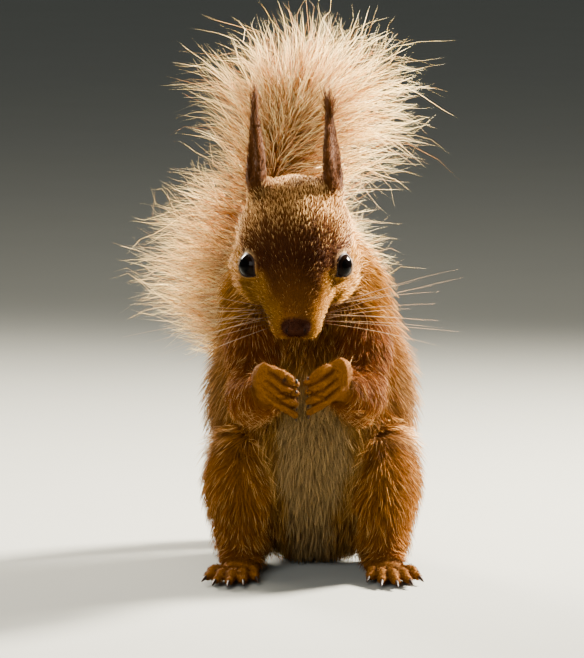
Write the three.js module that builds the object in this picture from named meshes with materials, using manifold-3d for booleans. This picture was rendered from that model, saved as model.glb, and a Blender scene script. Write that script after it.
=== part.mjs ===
// A red squirrel sitting up on its haunches with both hands at its mouth and its tail raised behind it.
// Life size, in mm. +Z is up, the animal faces -Y, and its own left side is +X.
// Every solid of flesh is drawn out to the tips of the coat.
import * as THREE from "three";
import { mergeVertices } from "three/addons/utils/BufferGeometryUtils.js";
import Module from "manifold-3d";

const wasm = await Module();
wasm.setup();

const CUT = 0.35; // the thin cut that parts two neighbours
const X_AXIS = new THREE.Vector3(1, 0, 0);
const point = (x, y, z) => new THREE.Vector3(x, y, z);
const SIDES = { left: 1, right: -1 };

// ---- driving sizes ----
// A body drawn out along a spine lists its half widths and half depths at even steps along it.

const BODY = {
  middle: 4, // the hips and belly; the chest and head lean a little to the animal's right of it
  spine: [
    { aside: 0.8, y: 12, z: -3 },
    { aside: 0.8, y: 11, z: 18 },
    { aside: 0, y: 9, z: 40 },
    { aside: -0.5, y: 10, z: 61 },
    { aside: -1, y: 10, z: 80 },
    { aside: -3, y: 6, z: 97 },
  ],
  wide: [24, 30.5, 33, 36.5, 36, 33, 22],
  deep: [24, 33, 34.5, 32.5, 29, 25, 14],
  blunt: 0.62,
};
const NECK = {
  spine: [
    { aside: -1, y: 11, z: 70 },
    { aside: -2, y: 10, z: 86 },
    { aside: -4, y: 4, z: 101 },
    { aside: -5.5, y: -6, z: 117 },
  ],
  wide: [31, 32, 25.5, 19],
  deep: [25, 26, 22, 15],
};

// On the head, `back` is measured from the tip of the nose and `up` from the head's long axis.
const HEAD = {
  middle: -1.5,
  nose: { y: -38, z: 83.5 },
  bow: THREE.MathUtils.degToRad(50), // how far the face points below level
  length: 57,
  rise: [-2.6, -1.4, 1.4, 2.4, 1.5, -2], // the skull's spine above the axis, from nose to nape
  wide: [10, 12.2, 14.8, 17.8, 19.6, 18.8, 14],
  deep: [8.8, 10.8, 12.8, 15.4, 17, 16.4, 12],
};
const NOSE_TIP = { back: 0.8, up: -0.2, radii: [4.2, 2.6, 2.8] };
const MUZZLE_PAD = { back: 7.6, up: -3.6, fromMiddle: 4, radii: [5.2, 7.8, 5.4] };
const CHEEK = { back: 27.5, up: -6, fromMiddle: 11.5, radii: [9.2, 12.5, 9.5] };
const JAW = {
  spine: [
    { back: 5, up: -7.4 },
    { back: 15, up: -9 },
    { back: 29, up: -10 },
  ],
  wide: [4, 7, 11],
  deep: [2.8, 4, 6],
};
const EYE = { radius: 4.6, back: 23.5, up: 3.4, fromMiddle: 13.8 };
const EAR = {
  back: 45,
  up: 6.5,
  fromMiddle: 12.8,
  height: 33.5,
  sweep: 3.2, // how far the tip lies behind the root
  lean: { left: -2, right: -0.8 }, // how far the tip lies to the animal's left of the root
  wide: [6.4, 8.4, 7.4, 4.1, 1.3],
  deep: [4.2, 4.2, 3.2, 2.2, 1],
  wall: 1.7,
  hollow: { start: 0.22, out: 2.2, forward: 1.1 },
};

const SHOULDER = { middle: 2.7, fromMiddle: 19, y: 3, z: 84 };
const ELBOW = { middle: 2.7, fromMiddle: 16.5, y: -13, z: 58.5 };
const UPPER_ARM = { wide: [10, 11, 10.5], deep: [16, 17, 13] };
const FOREARM = { wide: [11, 10, 5.8], deep: [11.5, 10.4, 5.4] };
const HAND = {
  middle: 0.6,
  y: -47,
  top: 74.4, // the uppermost knuckle
  wrist: { fromMiddle: 16, y: -38, below: 5 },
  palm: { fromMiddle: [14.5, 12.4, 8.4], back: [7.5, 3, 1], below: [4, 4, 5.6] },
  wide: [4.8, 6.8, 6.4],
  deep: [3.6, 3.6, 3],
  drop: { left: 0, right: 1.6 }, // the right hand is held a little lower
};
const FINGER = {
  radius: 2.1,
  taper: 0.5,
  knuckle: { fromMiddle: 9.4, outward: 0.75, back: 0.4, below: 2.7 }, // the steps are from finger to finger
  tip: { fromMiddle: 1.7, outward: 0.2, back: 1, below: 3.7, drop: 4.6 },
  bend: { out: 0.8, forward: 2.4, up: 0.4 },
};

const THIGH = {
  spine: [
    { fromMiddle: 19, y: 28, z: 23 },
    { fromMiddle: 22.5, y: 2, z: 29 },
    { fromMiddle: 23.5, y: -29, z: 21 },
  ],
  wide: [11, 14.5, 11.5],
  deep: [20, 25, 17],
  blunt: 0.6,
};
const LOWER_LEG = {
  spine: [
    { fromMiddle: 23, y: -27, z: 13 },
    { fromMiddle: 23.5, y: -8, z: 7 },
    { fromMiddle: 21, y: 12, z: 6 },
  ],
  wide: [8.5, 9.5, 7],
  deep: [8, 8, 6],
};
const FOOT = { heel: { fromMiddle: 21, y: 10 }, length: 41, toeOut: 4.5, height: 4.2, wide: [5, 6.2, 7.4] };
const TOE = { radius: 2.1, length: 13.5, spacing: 2.5, fan: 0.16, turnOut: 0.12, set: 3.5, shorter: 0.07 };
const CLAW = { radius: 0.75, length: 5.2, hook: 0.42, ofHand: 0.8, ofFoot: 0.95 };

// The tail is a flat plume in three lengths, with a waist where the brush turns back.
const TAIL_BASE = {
  spine: [point(4, 26, 9), point(2, 44, 8), point(-4, 53, 24), point(-9, 54, 46), point(-12, 52, 64)],
  wide: [13, 15, 18, 21, 27],
  deep: [9, 9.5, 11, 12.5, 13],
};
const TAIL_MIDDLE = {
  spine: [point(-9, 52, 50), point(-12, 50, 76), point(-13, 46, 104), point(-9, 42, 134)],
  wide: [14, 31, 44, 47, 41],
  deep: [11, 13.5, 14, 13, 10],
  blunt: 0.6,
};
const TAIL_BRUSH = {
  spine: [point(-2, 44, 116), point(1, 48, 138), point(3, 57, 160), point(3, 68, 183)],
  wide: [24, 40, 45, 43, 27],
  deep: [11, 15, 17, 15, 10],
  blunt: 0.58,
};

// ---- making closed bodies ----

/** A smooth value along a list of evenly spaced ones, for t from 0 to 1. */
function along(values, t) {
  const line = new THREE.SplineCurve(values.map((v, i) => new THREE.Vector2(i, v)));
  return line.getPoint(t).y;
}

/** A sphere drawn out along a spine, with an elliptic section: `wide` towards `side`, `deep` across it. */
function limb({ spine, wide, deep, side = X_AXIS, blunt = 0.7, around = 16, rings = 12 }) {
  const curve = new THREE.CatmullRomCurve3(spine, false, "centripetal");
  const geometry = new THREE.SphereGeometry(1, around, rings);
  const place = geometry.getAttribute("position");
  for (let i = 0; i < place.count; i++) {
    const pole = THREE.MathUtils.clamp(place.getY(i), -1, 1);
    const t = (1 - pole) / 2;
    const ring = Math.sqrt(1 - pole * pole);
    const swell = ring < 1e-6 ? 0 : Math.pow(ring, blunt) / ring;
    const tangent = curve.getTangent(t);
    const across = side.clone().addScaledVector(tangent, -side.dot(tangent)).normalize();
    const up = tangent.clone().cross(across);
    const at = curve
      .getPoint(t)
      .addScaledVector(across, place.getX(i) * swell * along(wide, t))
      .addScaledVector(up, place.getZ(i) * swell * along(deep, t));
    place.setXYZ(i, at.x, at.y, at.z);
  }
  return geometry;
}

/** An ellipsoid, tipped about the X axis. */
function ball(centre, radii, tip = 0, around = 10, rings = 7) {
  const turned = new THREE.Quaternion().setFromAxisAngle(X_AXIS, tip);
  const placed = new THREE.Matrix4().compose(centre, turned, point(...radii));
  return new THREE.SphereGeometry(1, around, rings).applyMatrix4(placed);
}

/** The geometry as a solid, with its surface moved out by `grow`. */
function solid(geometry, grow = 0) {
  const bare = geometry.clone();
  bare.deleteAttribute("normal");
  bare.deleteAttribute("uv");
  const merged = mergeVertices(bare, 1e-4);
  const place = merged.getAttribute("position");
  if (grow) {
    merged.computeVertexNormals();
    const normal = merged.getAttribute("normal");
    for (let i = 0; i < place.count; i++) {
      const at = new THREE.Vector3().fromBufferAttribute(place, i);
      at.addScaledVector(new THREE.Vector3().fromBufferAttribute(normal, i), grow);
      place.setXYZ(i, at.x, at.y, at.z);
    }
  }
  const mesh = new wasm.Mesh({
    numProp: 3,
    vertProperties: Float32Array.from(place.array),
    triVerts: Uint32Array.from(merged.index.array),
  });
  return new wasm.Manifold(mesh);
}

/** Several geometries joined into one solid, each grown by `grow`. */
function joined(shapes, grow = 0) {
  return shapes.map((shape) => solid(shape, grow)).reduce((sum, next) => sum.add(next));
}

const GROUND = { across: 400, thick: 40 };
const ground = solid(
  new THREE.BoxGeometry(GROUND.across, GROUND.across, GROUND.thick).translate(0, 0, -GROUND.thick / 2),
);

/** The shapes as one solid that stands flat on the floor and stops a thin cut short of its neighbours. */
function parted(shapes, neighbours) {
  let made = joined(shapes).subtract(ground);
  for (const neighbour of neighbours) made = made.subtract(joined(neighbour, CUT));
  return made.decompose().reduce((best, next) => (next.volume() > best.volume() ? next : best));
}

// ---- trunk and neck ----
const onBody = ({ aside, y, z }) => point(BODY.middle + aside, y, z);
const trunk = [
  limb({ ...BODY, spine: BODY.spine.map(onBody), around: 20, rings: 14 }),
];
const neck = [
  limb({ ...NECK, spine: NECK.spine.map(onBody), around: 14, rings: 8 }),
];

// ---- head ----
const forward = point(0, -Math.cos(HEAD.bow), -Math.sin(HEAD.bow));
const crownward = point(0, -Math.sin(HEAD.bow), Math.cos(HEAD.bow));

/** A place on the head, `out` to the animal's left. */
function onHead({ back, up }, out = 0) {
  return point(HEAD.middle + out, HEAD.nose.y, HEAD.nose.z)
    .addScaledVector(forward, -back)
    .addScaledVector(crownward, up);
}

const skull = limb({
  spine: HEAD.rise.map((up, i) => onHead({ back: (HEAD.length * i) / (HEAD.rise.length - 1), up })),
  wide: HEAD.wide,
  deep: HEAD.deep,
  around: 18,
  rings: 13,
  blunt: 0.6,
});
const pairOnHead = (lump) =>
  Object.values(SIDES).map((s) => ball(onHead(lump, s * lump.fromMiddle), lump.radii, HEAD.bow));
const jaw = limb({ ...JAW, spine: JAW.spine.map((at) => onHead(at)), around: 8, rings: 5 });
const noseTip = ball(onHead(NOSE_TIP), NOSE_TIP.radii, HEAD.bow, 8, 5);
const head = [skull, jaw, noseTip, ...pairOnHead(CHEEK), ...pairOnHead(MUZZLE_PAD)];

const eyeOf = (s) => [ball(onHead(EYE, s * EYE.fromMiddle), [EYE.radius, EYE.radius, EYE.radius], 0, 12, 9)];
const eyes = { left: eyeOf(SIDES.left), right: eyeOf(SIDES.right) };

/** A pointed leaf-shaped ear, hollow on its outer front side, drawn out to the tip of its tuft. */
function earOf(name) {
  const s = SIDES[name];
  const root = onHead(EAR, s * EAR.fromMiddle);
  const leaf = (start, inset, shift) =>
    limb({
      spine: [0, 0.33, 0.66, 1].map((t) =>
        point(
          root.x + EAR.lean[name] * t + shift.x,
          root.y + EAR.sweep * t * t + shift.y,
          root.z + EAR.height * (start + (1 - start) * t * (1 - inset / EAR.height)),
        ),
      ),
      wide: EAR.wide.map((w) => Math.max(w - inset, 0.3)),
      deep: EAR.deep.map((d) => Math.max(d - inset, 0.3)),
      side: point(s * 0.3, 1, 0).normalize(),
      around: 10,
      rings: 8,
      blunt: 0.75,
    });
  const outer = leaf(0, 0, point(0, 0, 0));
  const hollow = leaf(EAR.hollow.start, EAR.wall, point(s * EAR.hollow.out, -EAR.hollow.forward, 0));
  return parted([outer], [head, neck]).subtract(solid(hollow));
}

// ---- arms: the elbows are drawn in against the chest, and the sleeves of fur hang under them ----
const shoulderAt = (s) => point(SHOULDER.middle + s * SHOULDER.fromMiddle, SHOULDER.y, SHOULDER.z);
const elbowAt = (s) => point(ELBOW.middle + s * ELBOW.fromMiddle, ELBOW.y, ELBOW.z);
const wristAt = (s, drop) =>
  point(HAND.middle + s * HAND.wrist.fromMiddle, HAND.wrist.y, HAND.top - HAND.wrist.below - drop);

const upperArmOf = (s) => {
  const [shoulder, elbow] = [shoulderAt(s), elbowAt(s)];
  const biceps = shoulder.clone().lerp(elbow, 0.5).add(point(s * 0.5, -2, 0));
  return [limb({ ...UPPER_ARM, spine: [shoulder, biceps, elbow], around: 12, rings: 8 })];
};
const forearmOf = (s, drop) => {
  const [elbow, wrist] = [elbowAt(s).add(point(0, -2, -0.5)), wristAt(s, drop)];
  const middle = elbow.clone().lerp(wrist, 0.5).add(point(s * 1.5, 0, -2));
  return [limb({ ...FOREARM, spine: [elbow, middle, wrist], around: 12, rings: 8 })];
};

// ---- hands: the wrists are bent, so the fingers run in and down to meet under the mouth ----
const FINGERS = [0, 1, 2, 3]; // from the uppermost, inner finger to the lowest, outer one
const knuckleAt = (s, i, drop) => {
  const { fromMiddle, outward, back, below } = FINGER.knuckle;
  return point(HAND.middle + s * (fromMiddle + outward * i), HAND.y + back * i, HAND.top - below * i - drop);
};
const fingertipAt = (s, i, drop) => {
  const { fromMiddle, outward, back, below, drop: hang } = FINGER.tip;
  const z = HAND.top - hang - below * i - drop / 2;
  return point(HAND.middle + s * (fromMiddle + outward * i), HAND.y + back * i, z);
};
const fingerOf = (s, i, drop) => {
  const [knuckle, tip] = [knuckleAt(s, i, drop), fingertipAt(s, i, drop)];
  const bend = knuckle.clone().lerp(tip, 0.5);
  bend.add(point(s * FINGER.bend.out, -FINGER.bend.forward, FINGER.bend.up));
  const radii = [FINGER.radius, FINGER.radius, FINGER.radius - FINGER.taper];
  const side = point(0, 0, 1);
  return limb({ spine: [knuckle, bend, tip], wide: radii, deep: radii, side, around: 7, rings: 4 });
};
const palmOf = (s, drop) =>
  limb({
    spine: HAND.palm.fromMiddle.map((out, i) =>
      point(HAND.middle + s * out, HAND.y + HAND.palm.back[i], HAND.top - HAND.palm.below[i] - drop),
    ),
    wide: HAND.wide,
    deep: HAND.deep,
    side: point(0, -0.3, 1).normalize(),
    around: 10,
    rings: 6,
  });
const handOf = (s, drop) => [palmOf(s, drop), ...FINGERS.map((i) => fingerOf(s, i, drop))];

/** A curved claw that leaves `tip` along `way` and hooks towards `hook`. */
function claw(tip, way, hook, size) {
  const length = CLAW.length * size;
  const radius = CLAW.radius * size;
  const root = tip.clone().addScaledVector(way, CUT);
  const middle = tip.clone().addScaledVector(way, length * 0.55).addScaledVector(hook, length * 0.08);
  const end = tip.clone().addScaledVector(way, length * 0.95).addScaledVector(hook, length * CLAW.hook);
  return limb({
    spine: [root, middle, end],
    wide: [radius, radius * 0.8, radius * 0.3],
    deep: [radius * 1.3, radius, radius * 0.3],
    side: hook.clone().cross(way).normalize(),
    around: 6,
    rings: 3,
  });
}

// ---- hind legs ----
const onLeg = (s) => ({ fromMiddle, y, z }) => point(BODY.middle + s * fromMiddle, y, z);
const thighOf = (s) => [limb({ ...THIGH, spine: THIGH.spine.map(onLeg(s)), around: 16, rings: 9 })];
const lowerLegOf = (s) => [limb({ ...LOWER_LEG, spine: LOWER_LEG.spine.map(onLeg(s)), around: 10, rings: 6 })];

const TOES = [-2, -1, 0, 1, 2]; // counted across the foot from its inner side
const soleAt = (s, t) =>
  point(
    BODY.middle + s * (FOOT.heel.fromMiddle + FOOT.toeOut * t * t),
    FOOT.heel.y - FOOT.length * t,
    FOOT.height * (1 - 0.2 * t),
  );
const toeWay = (s, i) => point(s * (TOE.turnOut + TOE.fan * i), -1, 0).normalize();
const toeRoot = (s, i) => soleAt(s, 1).add(point(s * i * TOE.spacing, TOE.set + 0.9 * i * i, 0));
const toeTip = (s, i) => {
  const reach = TOE.length * (1 - TOE.shorter * i * i);
  return toeRoot(s, i).addScaledVector(toeWay(s, i), reach).setZ(TOE.radius * 0.75);
};
const toeOf = (s, i) => {
  const [root, tip] = [toeRoot(s, i), toeTip(s, i)];
  const arch = root.clone().lerp(tip, 0.55).setZ(TOE.radius * 1.7);
  const radii = [TOE.radius * 1.15, TOE.radius, TOE.radius];
  return limb({ spine: [root, arch, tip], wide: radii, deep: radii, around: 7, rings: 4, blunt: 0.55 });
};
const footOf = (s) => [
  limb({
    spine: [soleAt(s, 0), soleAt(s, 0.5), soleAt(s, 1)],
    wide: FOOT.wide,
    deep: [FOOT.height + 0.6, FOOT.height + 0.4, FOOT.height - 0.2],
    around: 10,
    rings: 6,
    blunt: 0.5,
  }),
  ...TOES.map((i) => toeOf(s, i)),
];

// ---- tail ----
const tailBase = [limb({ ...TAIL_BASE, around: 16, rings: 10 })];
const tailMiddle = [limb({ ...TAIL_MIDDLE, around: 18, rings: 11 })];
const tailBrush = [limb({ ...TAIL_BRUSH, around: 18, rings: 11 })];

// ---- the animal ----
const furred = (color) => new THREE.MeshStandardMaterial({ color, roughness: 0.85, metalness: 0 });
const russet = furred("#a8602b");
const sleeve = furred("#8a4219");
const ochre = furred("#b98a52");
const blond = furred("#e3bb82");
const dusky = furred("#5d2f16");
const horn = new THREE.MeshStandardMaterial({ color: "#3a2a20", roughness: 0.4, metalness: 0 });
const wetEye = new THREE.MeshStandardMaterial({ color: "#0d0807", roughness: 0.05, metalness: 0 });

const squirrel = new THREE.Group();

/** Adds one named mesh to the animal. */
function add(name, made, material) {
  const { vertProperties, triVerts, numProp } = made.getMesh();
  const geometry = new THREE.BufferGeometry();
  const buffer = new THREE.InterleavedBuffer(vertProperties, numProp);
  geometry.setAttribute("position", new THREE.InterleavedBufferAttribute(buffer, 3, 0));
  geometry.setIndex(new THREE.BufferAttribute(triVerts, 1));
  const faceted = geometry.toNonIndexed();
  faceted.computeVertexNormals();
  const mesh = new THREE.Mesh(faceted, material.clone());
  mesh.name = name;
  squirrel.add(mesh);
}

add("trunk", parted(trunk, []), russet);
add("neck", parted(neck, [trunk]), russet);
add("head", parted(head, [trunk, neck, eyes.left, eyes.right]), russet);
add("tail_base", parted(tailBase, [trunk]), russet);
add("tail_middle", parted(tailMiddle, [trunk, neck, tailBase]), blond);
add("tail_brush", parted(tailBrush, [trunk, neck, tailBase, tailMiddle]), blond);

const handClawWay = (s) => point(-s * 0.08, 0.85, -0.45).normalize(); // back, behind the fingertips
const handClawHook = point(0, 0.2, -0.95).normalize();
const footClawHook = point(0, 0, -0.6);

for (const [name, s] of Object.entries(SIDES)) {
  const drop = HAND.drop[name];
  const upperArm = upperArmOf(s);
  const forearm = forearmOf(s, drop);
  const thigh = thighOf(s);
  const lowerLeg = lowerLegOf(s);
  add(`eye_${name}`, parted(eyes[name], []), wetEye);
  add(`ear_${name}`, earOf(name), dusky);
  add(`upper_arm_${name}`, parted(upperArm, [trunk, neck, head]), russet);
  add(`forearm_${name}`, parted(forearm, [trunk, head, upperArm]), sleeve);
  add(`hand_${name}`, parted(handOf(s, drop), [forearm, head]), ochre);
  add(`thigh_${name}`, parted(thigh, [trunk]), russet);
  add(`lower_leg_${name}`, parted(lowerLeg, [trunk, thigh]), russet);
  add(`foot_${name}`, parted(footOf(s), [trunk, thigh, lowerLeg]), ochre);
  for (const i of FINGERS) {
    const nail = claw(fingertipAt(s, i, drop), handClawWay(s), handClawHook, CLAW.ofHand);
    add(`claw_hand_${name}_${i + 1}`, solid(nail), horn);
  }
  for (const i of TOES) {
    const nail = claw(toeTip(s, i).add(point(0, 0, CLAW.radius)), toeWay(s, i), footClawHook, CLAW.ofFoot);
    add(`claw_foot_${name}_${i + 3}`, solid(nail), horn);
  }
}

// The origin is on the floor under the middle of the whole animal.
const middle = new THREE.Box3().setFromObject(squirrel).getCenter(new THREE.Vector3());
squirrel.position.set(-middle.x, -middle.y, 0);

export default squirrel;
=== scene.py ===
"""A life-size red squirrel sitting up on its haunches, with both hands at its mouth.

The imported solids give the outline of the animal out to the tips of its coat.  One skin
is drawn inside them, without a seam, and the coat grows on it as closed, tapered tufts
that follow the lie of real fur.  The eyes, the claws and the whiskers are their own pieces.

Sizes are in millimetres and angles in degrees.  Meshes are written in metres.
"""

import logging
import math
from dataclasses import dataclass, field
from enum import Enum
from typing import Any, Callable

import bpy
import numpy as np
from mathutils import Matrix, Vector
from mathutils.bvhtree import BVHTree
from mathutils.kdtree import KDTree


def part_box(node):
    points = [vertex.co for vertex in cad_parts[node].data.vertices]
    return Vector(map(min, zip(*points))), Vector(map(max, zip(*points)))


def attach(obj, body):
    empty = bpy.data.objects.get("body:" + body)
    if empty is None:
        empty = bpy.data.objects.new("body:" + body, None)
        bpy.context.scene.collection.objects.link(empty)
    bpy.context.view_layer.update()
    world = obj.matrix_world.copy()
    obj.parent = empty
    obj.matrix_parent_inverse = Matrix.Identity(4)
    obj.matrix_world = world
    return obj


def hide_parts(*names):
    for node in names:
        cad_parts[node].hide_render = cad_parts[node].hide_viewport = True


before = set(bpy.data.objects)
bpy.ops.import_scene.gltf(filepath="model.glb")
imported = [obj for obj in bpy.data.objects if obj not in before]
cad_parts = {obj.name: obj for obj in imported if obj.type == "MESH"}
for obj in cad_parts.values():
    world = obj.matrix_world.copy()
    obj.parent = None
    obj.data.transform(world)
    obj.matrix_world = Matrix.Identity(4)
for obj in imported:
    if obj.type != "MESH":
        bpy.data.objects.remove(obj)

log = logging.getLogger("squirrel")

MM = 0.001
Array = np.ndarray
Piece = bpy.types.Object
Material = bpy.types.Material
Tree = bpy.types.NodeTree
Socket = bpy.types.NodeSocket
SIDES: dict[str, int] = {"left": 1, "right": -1}
FINGERS = range(1, 5)
TOES = range(1, 6)


class Region(Enum):
    """A stretch of the body with a coat of its own."""

    TRUNK = "trunk"
    NECK = "neck"
    HEAD = "head"
    EAR = "ear"
    UPPER_ARM = "upper_arm"
    FOREARM = "forearm"
    HAND = "hand"
    THIGH = "thigh"
    LOWER_LEG = "lower_leg"
    FOOT = "foot"
    TAIL = "tail"


REGIONS = list(Region)
PAIRED = set(Region) - {Region.TRUNK, Region.NECK, Region.HEAD, Region.TAIL}
EAR_REACH = 12  # nothing farther aside from an ear's middle is part of that ear
PIECE_LIMIT = 190_000  # triangles to a piece


@dataclass(frozen=True)
class Pelt:
    """How the coat of one region grows.

    Args:
        depth: how far the skin lies inside the outline.
        length: the length of a tuft.
        width: the width of a tuft at its root.
        count: tufts to a square millimetre.
        heading: the way the coat lies, in the part's frame.
        firmness: how well the skin keeps its small forms when it is smoothed, 0 to 1.
        core: how much deeper the first rough skin lies, where a finer copy is joined on.
    """

    depth: float
    length: float
    width: float
    count: float
    heading: tuple[float, float, float]
    firmness: float = 0.0
    core: float = 0.0


PELTS: dict[Region, Pelt] = {
    Region.TRUNK: Pelt(3.6, 8.5, 0.35, 3.1, (0, 0.15, -1)),
    Region.NECK: Pelt(3.2, 7.5, 0.34, 3.8, (0, 0.35, -1)),
    Region.HEAD: Pelt(1.1, 3.0, 0.30, 8.6, (0, 0, 1), 0.35),
    Region.EAR: Pelt(0.45, 3.4, 0.26, 7.0, (0, 0, 1), 0.5, 0.5),
    Region.UPPER_ARM: Pelt(2.6, 7.0, 0.32, 4.6, (0, -0.3, -1)),
    Region.FOREARM: Pelt(2.2, 6.0, 0.31, 5.0, (0, -0.45, -1)),
    Region.HAND: Pelt(0.35, 1.2, 0.17, 8.0, (0, -0.1, -0.5), 0.6, 1.2),
    Region.THIGH: Pelt(2.6, 7.0, 0.33, 4.2, (0, 0.25, -1), 0.2),
    Region.LOWER_LEG: Pelt(1.8, 4.8, 0.30, 5.4, (0, 0.2, -1)),
    Region.FOOT: Pelt(0.35, 1.7, 0.23, 6.5, (0, -1, -0.15), 0.5, 1.2),
    Region.TAIL: Pelt(0.0, 9.0, 0.5, 1.0, (0, 0.1, 1), 0.4),
}


@dataclass(frozen=True)
class Layer:
    """One layer of the coat.

    Args:
        name: part of the names of its pieces.
        steps: the lengths that each of its tufts is bent from.
        share: its tufts to each one that the pelt counts.
        length: of its tufts, times the pelt's.
        width: of its tufts, times the pelt's.
        stand: the least and the most that its tips stand over the skin, times the pelt's depth.
        tone: the mean and the spread of its tufts' tones.
    """

    name: str
    steps: int
    share: float
    length: float
    width: float
    stand: tuple[float, float]
    tone: tuple[float, float]


LAYERS = (
    Layer("nap", 1, 1.0, 0.85, 1.15, (0.3, 0.95), (0.36, 0.15)),
    Layer("guard", 2, 0.22, 1.15, 1.0, (0.7, 1.9), (0.58, 0.26)),
)


# ---- arithmetic on arrays of points ----


def unit(vectors: Array) -> Array:
    """Returns the vectors scaled to a length of one."""
    return vectors / np.maximum(np.linalg.norm(vectors, axis=-1, keepdims=True), 1e-12)


def ease(low: float, high: float, value: Array) -> Array:
    """Returns a smooth step from 0 at low to 1 at high."""
    t = np.clip((value - low) / (high - low), 0, 1)
    return t * t * (3 - 2 * t)


def dot(a: Array, b: Array) -> Array:
    """Returns the products of two arrays of vectors, or of an array and one vector."""
    return (a * b).sum(axis=-1)


def ripple(points: Array, size: float, seed: int) -> Array:
    """Returns a smooth random wave from -1 to 1 over space.

    Args:
        points: the places, in mm.
        size: the rough distance from crest to crest.
        seed: picks one wave.
    """
    rng = np.random.default_rng(seed)
    waves = 6
    total = np.zeros(len(points))
    for _ in range(waves):
        way = unit(rng.normal(size=3))
        total += np.sin(points @ way * (2 * math.pi / size) * rng.uniform(0.6, 1.5) + rng.uniform(0, 6.3))
    return np.clip(total / (waves / 2), -1, 1)


def search_tree(points: Array) -> KDTree:
    """Returns a tree that finds the points nearest to a place."""
    tree = KDTree(len(points))
    for i, point in enumerate(points.tolist()):
        tree.insert(point, i)
    tree.balance()
    return tree


def inset(places: Array) -> Array:
    """Returns places on an unwrap, from 0 to 1 each way, drawn in a little from its edges."""
    return 0.01 + 0.98 * places


def centre_of(node: str) -> Array:
    """Returns the centre of a CAD node's box, in mm."""
    low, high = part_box(node)
    return (np.array(low) + np.array(high)) / 2 / MM


def middle_of(kind: Region) -> float:
    """Returns where the left and the right one of a pair of regions part."""
    left, right = (centre_of(f"{kind.value}_{side}")[0] if kind in PAIRED else 0 for side in SIDES)
    return (left + right) / 2


def within(node: str, fx: float, fy: float, fz: float) -> Array:
    """Returns a place given by fractions of a CAD node's box, in mm."""
    low, high = (np.array(corner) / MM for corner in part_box(node))
    return low + (high - low) * np.array([fx, fy, fz])


# ---- the head's own frame ----


@dataclass(frozen=True)
class HeadFrame:
    """Places on the head: back from the tip of the nose, up from its long axis, out to the left."""

    bow: float = 50
    eye_back: float = 23.5
    eye_up: float = 3.4
    eye_radius: float = 4.6

    @property
    def forward(self) -> Array:
        """The way the nose points."""
        return np.array([0, -math.cos(math.radians(self.bow)), -math.sin(math.radians(self.bow))])

    @property
    def crownward(self) -> Array:
        """The way the crown lies from the head's axis."""
        return np.array([0, -math.sin(math.radians(self.bow)), math.cos(math.radians(self.bow))])

    @property
    def nose(self) -> Array:
        """The tip of the nose."""
        between_eyes = (centre_of("eye_left") + centre_of("eye_right")) / 2
        return between_eyes + self.forward * self.eye_back - self.crownward * self.eye_up

    def place(self, back: float, up: float, out: float = 0) -> Array:
        """Returns the point at a place on the head."""
        return self.nose - self.forward * back + self.crownward * up + np.array([out, 0, 0])

    def measure(self, points: Array) -> tuple[Array, Array, Array]:
        """Returns how far each point lies back, up and out on the head."""
        off = points - self.nose
        return -off @ self.forward, off @ self.crownward, off[:, 0]


HEAD = HeadFrame()


# ---- meshes ----


def deselect() -> None:
    """Leaves object mode with nothing selected."""
    if bpy.context.mode != "OBJECT":
        bpy.ops.object.mode_set(mode="OBJECT")
    bpy.ops.object.select_all(action="DESELECT")


def take(piece: Piece) -> None:
    """Selects one object alone and makes it the active one."""
    deselect()
    piece.select_set(True)
    bpy.context.view_layer.objects.active = piece


def apply_modifier(piece: Piece, kind: str, **settings: Any) -> None:
    """Adds a modifier to the piece and applies it."""
    take(piece)
    modifier = piece.modifiers.new(kind.lower(), kind)
    for name, value in settings.items():
        setattr(modifier, name, value)
    bpy.ops.object.modifier_apply(modifier=modifier.name)


def copy_of_node(node: str, name: str) -> Piece:
    """Returns a free copy of a CAD node with its doubled vertices merged."""
    piece = bpy.data.objects.new(name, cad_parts[node].data.copy())
    bpy.context.scene.collection.objects.link(piece)
    piece.data.materials.clear()
    take(piece)
    bpy.ops.object.mode_set(mode="EDIT")
    bpy.ops.mesh.select_all(action="SELECT")
    bpy.ops.mesh.remove_doubles(threshold=0.002 * MM)
    bpy.ops.object.mode_set(mode="OBJECT")
    return piece


def mesh_object(name: str, points: Array, triangles: Array) -> Piece:
    """Returns a smooth-shaded mesh object made of arrays.

    Args:
        name: the object's name.
        points: the vertices, in mm.
        triangles: three vertex numbers for each face.
    """
    mesh = bpy.data.meshes.new(name)
    mesh.vertices.add(len(points))
    mesh.vertices.foreach_set("co", (points * MM).astype(np.float32).ravel())
    mesh.loops.add(3 * len(triangles))
    mesh.loops.foreach_set("vertex_index", triangles.astype(np.int32).ravel())
    mesh.polygons.add(len(triangles))
    mesh.polygons.foreach_set("loop_start", np.arange(0, 3 * len(triangles), 3, dtype=np.int32))
    mesh.polygons.foreach_set("use_smooth", np.ones(len(triangles), bool))
    mesh.update(calc_edges=True)
    piece = bpy.data.objects.new(name, mesh)
    bpy.context.scene.collection.objects.link(piece)
    return piece


def write_attribute(piece: Piece, name: str, values: Array) -> None:
    """Stores one number for each vertex under a name that the materials read."""
    layer = piece.data.attributes.new(name, "FLOAT", "POINT")
    layer.data.foreach_set("value", values.astype(np.float32))


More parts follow.
